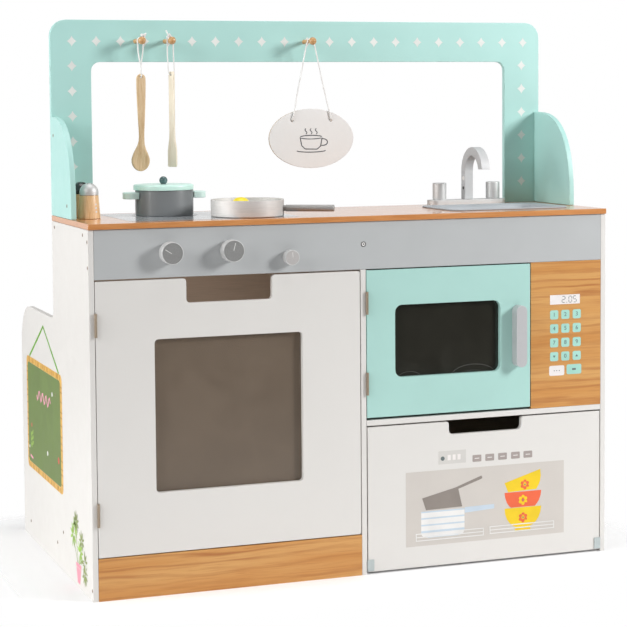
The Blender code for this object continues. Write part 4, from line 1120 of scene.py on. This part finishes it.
def print_dishwasher():
    left, low, right, high = 0.079, 0.039, 0.371, 0.1635

    def spot(u, v):
        return (left + u * (right - left), high - v * (high - low))

    def area(*points):
        return [spot(*p) for p in points]

    def flat(name, loops, mat, layer=1):
        decal(name, loops, "front", 0, mat, "dishwasher_door", layer)

    flat("rack_ground", [rect(left, low, right, high)], BEIGE_INK, 0)
    flat("wash_display", [rect(0.138, 0.173, 0.188, 0.195)], PANEL_INK, 0)
    flat("wash_light", [circle((0.1455, 0.1825), 0.0036, 24)], DIGIT_INK)
    bars = [rect(0.1545 + 0.009 * k, 0.179, 0.16 + 0.009 * k, 0.188) for k in range(3)]
    flat("wash_bars", bars, DISPLAY_INK)
    buttons = (0.2082, 0.2318, 0.2555, 0.2796, 0.3029)
    keys = [rounded((x - 0.00815, 0.17275, x + 0.00815, 0.18425), 0.0015) for x in buttons]
    flat("wash_buttons", keys, BUTTON_INK, 0)
    flat("wash_button_lines", [rect(x - 0.0042, 0.1779, x + 0.0042, 0.1792) for x in buttons], DISPLAY_INK)
    pan = area((0.1, 0.36), (0.3065, 0.25), (0.47, 0.118), (0.476, 0.14), (0.473, 0.16), (0.325, 0.272),
               (0.349, 0.514), (0.123, 0.524))
    flat("printed_pan", [pan], PAN_INK)
    pot = area((0.093, 0.54), (0.363, 0.54), (0.363, 0.83), (0.357, 0.866), (0.343, 0.888), (0.32, 0.898),
               (0.136, 0.898), (0.113, 0.888), (0.099, 0.866), (0.093, 0.83))
    flat("printed_pot", [pot], WHITE_INK)
    bands = ((0.54, 0.558), (0.626, 0.646), (0.716, 0.736), (0.8, 0.828))
    stripes = [area((0.0935, a), (0.3625, a), (0.3625, b), (0.0935, b)) for a, b in bands]
    stripes.append(area((0.113, 0.874), (0.343, 0.874), (0.32, 0.896), (0.136, 0.896)))
    flat("printed_stripes", stripes, BLUE_INK, 2)
    flat("printed_handle", [area((0.365, 0.528), (0.551, 0.52), (0.551, 0.58), (0.365, 0.604))], BLUE_INK)
    top = area((0.617, 0.25), (0.846, 0.095), (0.85, 0.18), (0.846, 0.25), (0.836, 0.31), (0.82, 0.365), (0.64, 0.378))
    bowl = area((0.617, 0.6), (0.853, 0.6), (0.848, 0.68), (0.836, 0.75), (0.818, 0.806), (0.796, 0.846),
                (0.77, 0.872), (0.696, 0.872), (0.672, 0.846), (0.65, 0.806), (0.632, 0.75), (0.621, 0.68))
    foot = area((0.683, 0.884), (0.783, 0.884), (0.783, 0.91), (0.683, 0.91))
    flat("printed_bowls", [top, bowl, foot], YELLOW_INK)
    middle = area((0.617, 0.384), (0.853, 0.384), (0.849, 0.45), (0.838, 0.52), (0.822, 0.57), (0.812, 0.594),
                  (0.658, 0.594), (0.646, 0.57), (0.631, 0.52), (0.621, 0.45))
    flat("printed_bowl", [middle], ORANGE_INK)

    def flower(u, v):
        x, z = spot(u, v)
        size = 0.0054
        return [shift(circle((0, 0), size * 0.55, 12), x + size * 1.05 * cos(a), z + size * 1.05 * sin(a))
                for a in [tau * i / 6 + 0.5 for i in range(6)]]

    hearts = ((0.747, 0.29), (0.735, 0.5), (0.735, 0.74))
    flat("bowl_petals", flower(*hearts[0]) + flower(*hearts[2]), ORANGE_INK, 2)
    flat("bowl_petals_yellow", flower(*hearts[1]), YELLOW_INK, 2)
    flat("bowl_flower_hearts", [circle(spot(*p), 0.0014, 14) for p in hearts], PAN_INK, 3)
    racks = []
    w = 0.0016
    for a, b, c, d in ((0.059, 0.484, 0.83, 0.935), (0.521, 0.936, 0.82, 0.925)):
        x0, z0 = spot(a, d)
        x1, z1 = spot(b, c)
        mid = (z0 + z1) / 2
        racks += [rect(x0, z0, x1, z1), rect(x0 + w, z0 + w, x1 - w, mid - w / 2)]
        racks.append(rect(x0 + w, mid + w / 2, x1 - w, z1 - w))
    flat("printed_racks", racks, WHITE_INK, 3)


def paint_pane_reflections():
    """Painted reflections: faint arcs of plate rims drawn on the dark pane."""
    arcs = (
        ((0.206, 0.318), (0.04, 0.018), 20, 165, 20, 0.0016), ((0.206, 0.314), (0.03, 0.012), 25, 160, 18, 0.001),
        ((0.09, 0.318), (0.022, 0.012), 30, 150, 14, 0.0014),
    )
    rims = [stroke(arc(*shape), width) for *shape, width in arcs]
    decal("pane_reflection_arcs", rims, "front", BOARD + 0.0003, PANE_REFLECTION_PAINT, "microwave_door")


def print_sign():
    """A line drawing of a steaming cup."""
    x, z = PEG_X[2], 0.71
    sides = ((-0.021, 0.004), (-0.0185, -0.01), (-0.012, -0.016), (0.01, -0.0165), (0.0165, -0.011), (0.019, 0.003))
    cup = [stroke([(x + u, z + v) for u, v in sides], 0.0017)]
    for (u, v), *shape, width in (
        ((-0.001, 0.0045), (0.02, 0.0028), 12, 168, 0.0016), ((-0.001, 0.0035), (0.019, 0.0024), -165, -15, 0.0014),
        ((0.0205, -0.0045), (0.0085, 0.0058), -108, 98, 0.0016), ((-0.001, -0.0185), (0.027, 0.003), -168, -12, 0.0015),
    ):
        cup.append(stroke(arc((x + u, z + v), *shape, 16), width))
    for k in range(3):
        steam = [(x - 0.0105 + 0.0095 * k + 0.0018 * sin(i * 1.05), z + 0.0095 + 0.0016 * i) for i in range(7)]
        cup.append(stroke(steam, 0.0014))
    decal("sign_drawing", cup, "front", HANG - 0.002, PEN_INK, "sign")


print_stars()
print_chalkboard()
print_plant()
print_hob()
print_keypad()
print_dishwasher()
paint_pane_reflections()
print_sign()


# Screws


def screw(name, place, turn):
    """A countersunk head with a cross, flush in the board. The dark cross is painted shade in place of recessed slots.
    """
    size = 0.003
    head = fillet([(0, -0.0002), (size, -0.0002), (size, 0.00022, 0.0002), (size * 0.6, 0.0003), (0, 0.00032)])
    turned(name, head, SCREW, "carcass", place, turn, 24)
    bm = bmesh.new()
    arm, thin = size * 0.62, size * 0.16
    for wide, tall in ((arm, thin), (thin, arm)):
        block = bmesh.ops.create_cube(bm, size=1)["verts"]
        bmesh.ops.scale(bm, vec=(2 * wide, 2 * tall, 0.00034), verts=block)
        bmesh.ops.translate(bm, vec=(0, 0, 0.0002), verts=block)
    cross = bpy.data.objects.new(name + "_cross", to_mesh(name + "_cross", bm))
    cross.location, cross.rotation_euler = place, turn
    place_piece(cross, RECESS_SHADE, "carcass")


def make_screws():
    boards = (
        (0.0045, 0.017), (0.205, 0.066), (0.2505, 0.039), (0.4695, 0.029), (0.4695, 0.155), (0.2505, 0.289),
        (0.034, 0.571), (0.235, 0.571), (0.0045, 0.562), (0.0045, 0.522),
    )
    for kind, places in (("{}_screw_{}", boards), ("wing_screw_{}_{}", ((0.233, 0.723), (0.139, 0.611)))):
        for i, (depth, z) in enumerate(places):
            for word, side in SIDES:
                screw(kind.format(word, i), at(-side * LEFT_FACE, depth, z), (0, side * pi / 2, 0))
    cap = [
        (0, 0.0002), (0.003, 0.0002), (0.003, 0.0009, 0.0004), (0.0018, 0.0007, 0.0002), (0.0015, 0.0004), (0, 0.0004),
    ]
    # The bolt's rim and hole are dark discs: painted shade round its cap and in its hole
    for name, profile, mat, steps in (
        ("_rim", disc(0.0043, 0.0003, -0.0002), RECESS_SHADE, 40), ("", fillet(cap), WHITE_INK, 40),
        ("_hole", disc(0.0012, 0.0006, 0.0003), RECESS_SHADE, 6),
    ):
        turned("fascia_bolt" + name, profile, mat, "carcass", at(0.0061, 0, 0.544), FORWARD, steps)


make_screws()


# Floor, light and world


def make_floor():
    """White paper that fades out round the kitchen for the camera and further out for bounced light."""
    bm = bmesh.new()
    bmesh.ops.create_grid(bm, x_segments=4, y_segments=4, size=3.0)
    floor = bpy.data.objects.new("floor", to_mesh("floor", bm))
    link(floor)
    mat, tree = new_material("floor_paper", roughness=0.9)
    inputs = tree.nodes["Principled BSDF"].inputs
    place = space(tree)
    base = mix(tree, noise(tree, place, 30, 3), (0.94, 0.94, 0.945), (0.96, 0.96, 0.965))
    tree.links.new(base, inputs["Base Color"])

    def vector(operation, value, other=(0, 0, 0), out=0):
        return add(tree, "ShaderNodeVectorMath", {0: value, 1: other}, operation=operation).outputs[out]

    far = spread(tree, vector("LENGTH", place, out="Value"), 1.0, 2.4, 1.0, 0.0)
    past = vector("MAXIMUM", vector("SUBTRACT", vector("ABSOLUTE", place), (0.45, 0.27, 0)))
    near = spread(tree, vector("LENGTH", past, out="Value"), 0.0, 0.14, 0.9, 0.0)
    seen = add(tree, "ShaderNodeLightPath").outputs["Is Camera Ray"]
    alpha = add(tree, "ShaderNodeMix", {0: seen, 2: far, 3: near}).outputs[0]
    tree.links.new(alpha, inputs["Alpha"])
    floor.data.materials.append(mat)


def softbox(name, toward, distance, power, wide, high, aim=(0, 0, 0.45)):
    direction = Vector(toward).normalized()
    lamp = bpy.data.lights.new(name, "AREA")
    lamp.shape = "RECTANGLE"
    lamp.size, lamp.size_y = wide, high
    lamp.energy = power
    light = bpy.data.objects.new(name, lamp)
    light.location = Vector(aim) + direction * distance
    light.rotation_euler = direction.to_track_quat("Z", "Y").to_euler()
    light.visible_camera = False
    link(light)


def make_light():
    softbox("key_right", (0.706, -0.598, 0.38), 3.2, 80, 0.65, 0.85)
    softbox("fill_left", (-0.789, -0.434, 0.434), 3.2, 26, 0.8, 1.4)
    softbox("side_left", (-1.0, -0.08, 0.22), 3.2, 64, 1.4, 1.6)
    softbox("top", (0.0, -0.1, 1.0), 2.8, 32, 1.8, 1.8)
    softbox("back", (0.15, 1.0, 0.24), 3.2, 26, 4.6, 2.4)
    softbox("oven_bay", (0, -1, 0), 0.12, 0.155, 0.3, 0.34, at(-0.26, 0.155, 0.385))
    world = bpy.data.worlds.new("studio")
    bpy.context.scene.world = world
    world.use_nodes = True
    tree = world.node_tree
    output = tree.nodes["World Output"]
    soft = tree.nodes["Background"]
    soft.inputs["Color"].default_value = (1, 1, 1, 1)
    soft.inputs["Strength"].default_value = 0.11
    seen = add(tree, "ShaderNodeBackground", {"Color": (1, 1, 1, 1), "Strength": 1.0})
    rays = add(tree, "ShaderNodeLightPath").outputs["Is Camera Ray"]
    both = add(tree, "ShaderNodeMixShader", {0: rays, 1: soft.outputs[0], 2: seen.outputs[0]})
    tree.links.new(both.outputs[0], output.inputs["Surface"])
    bpy.context.scene.view_settings.view_transform = "Standard"


make_floor()
make_light()
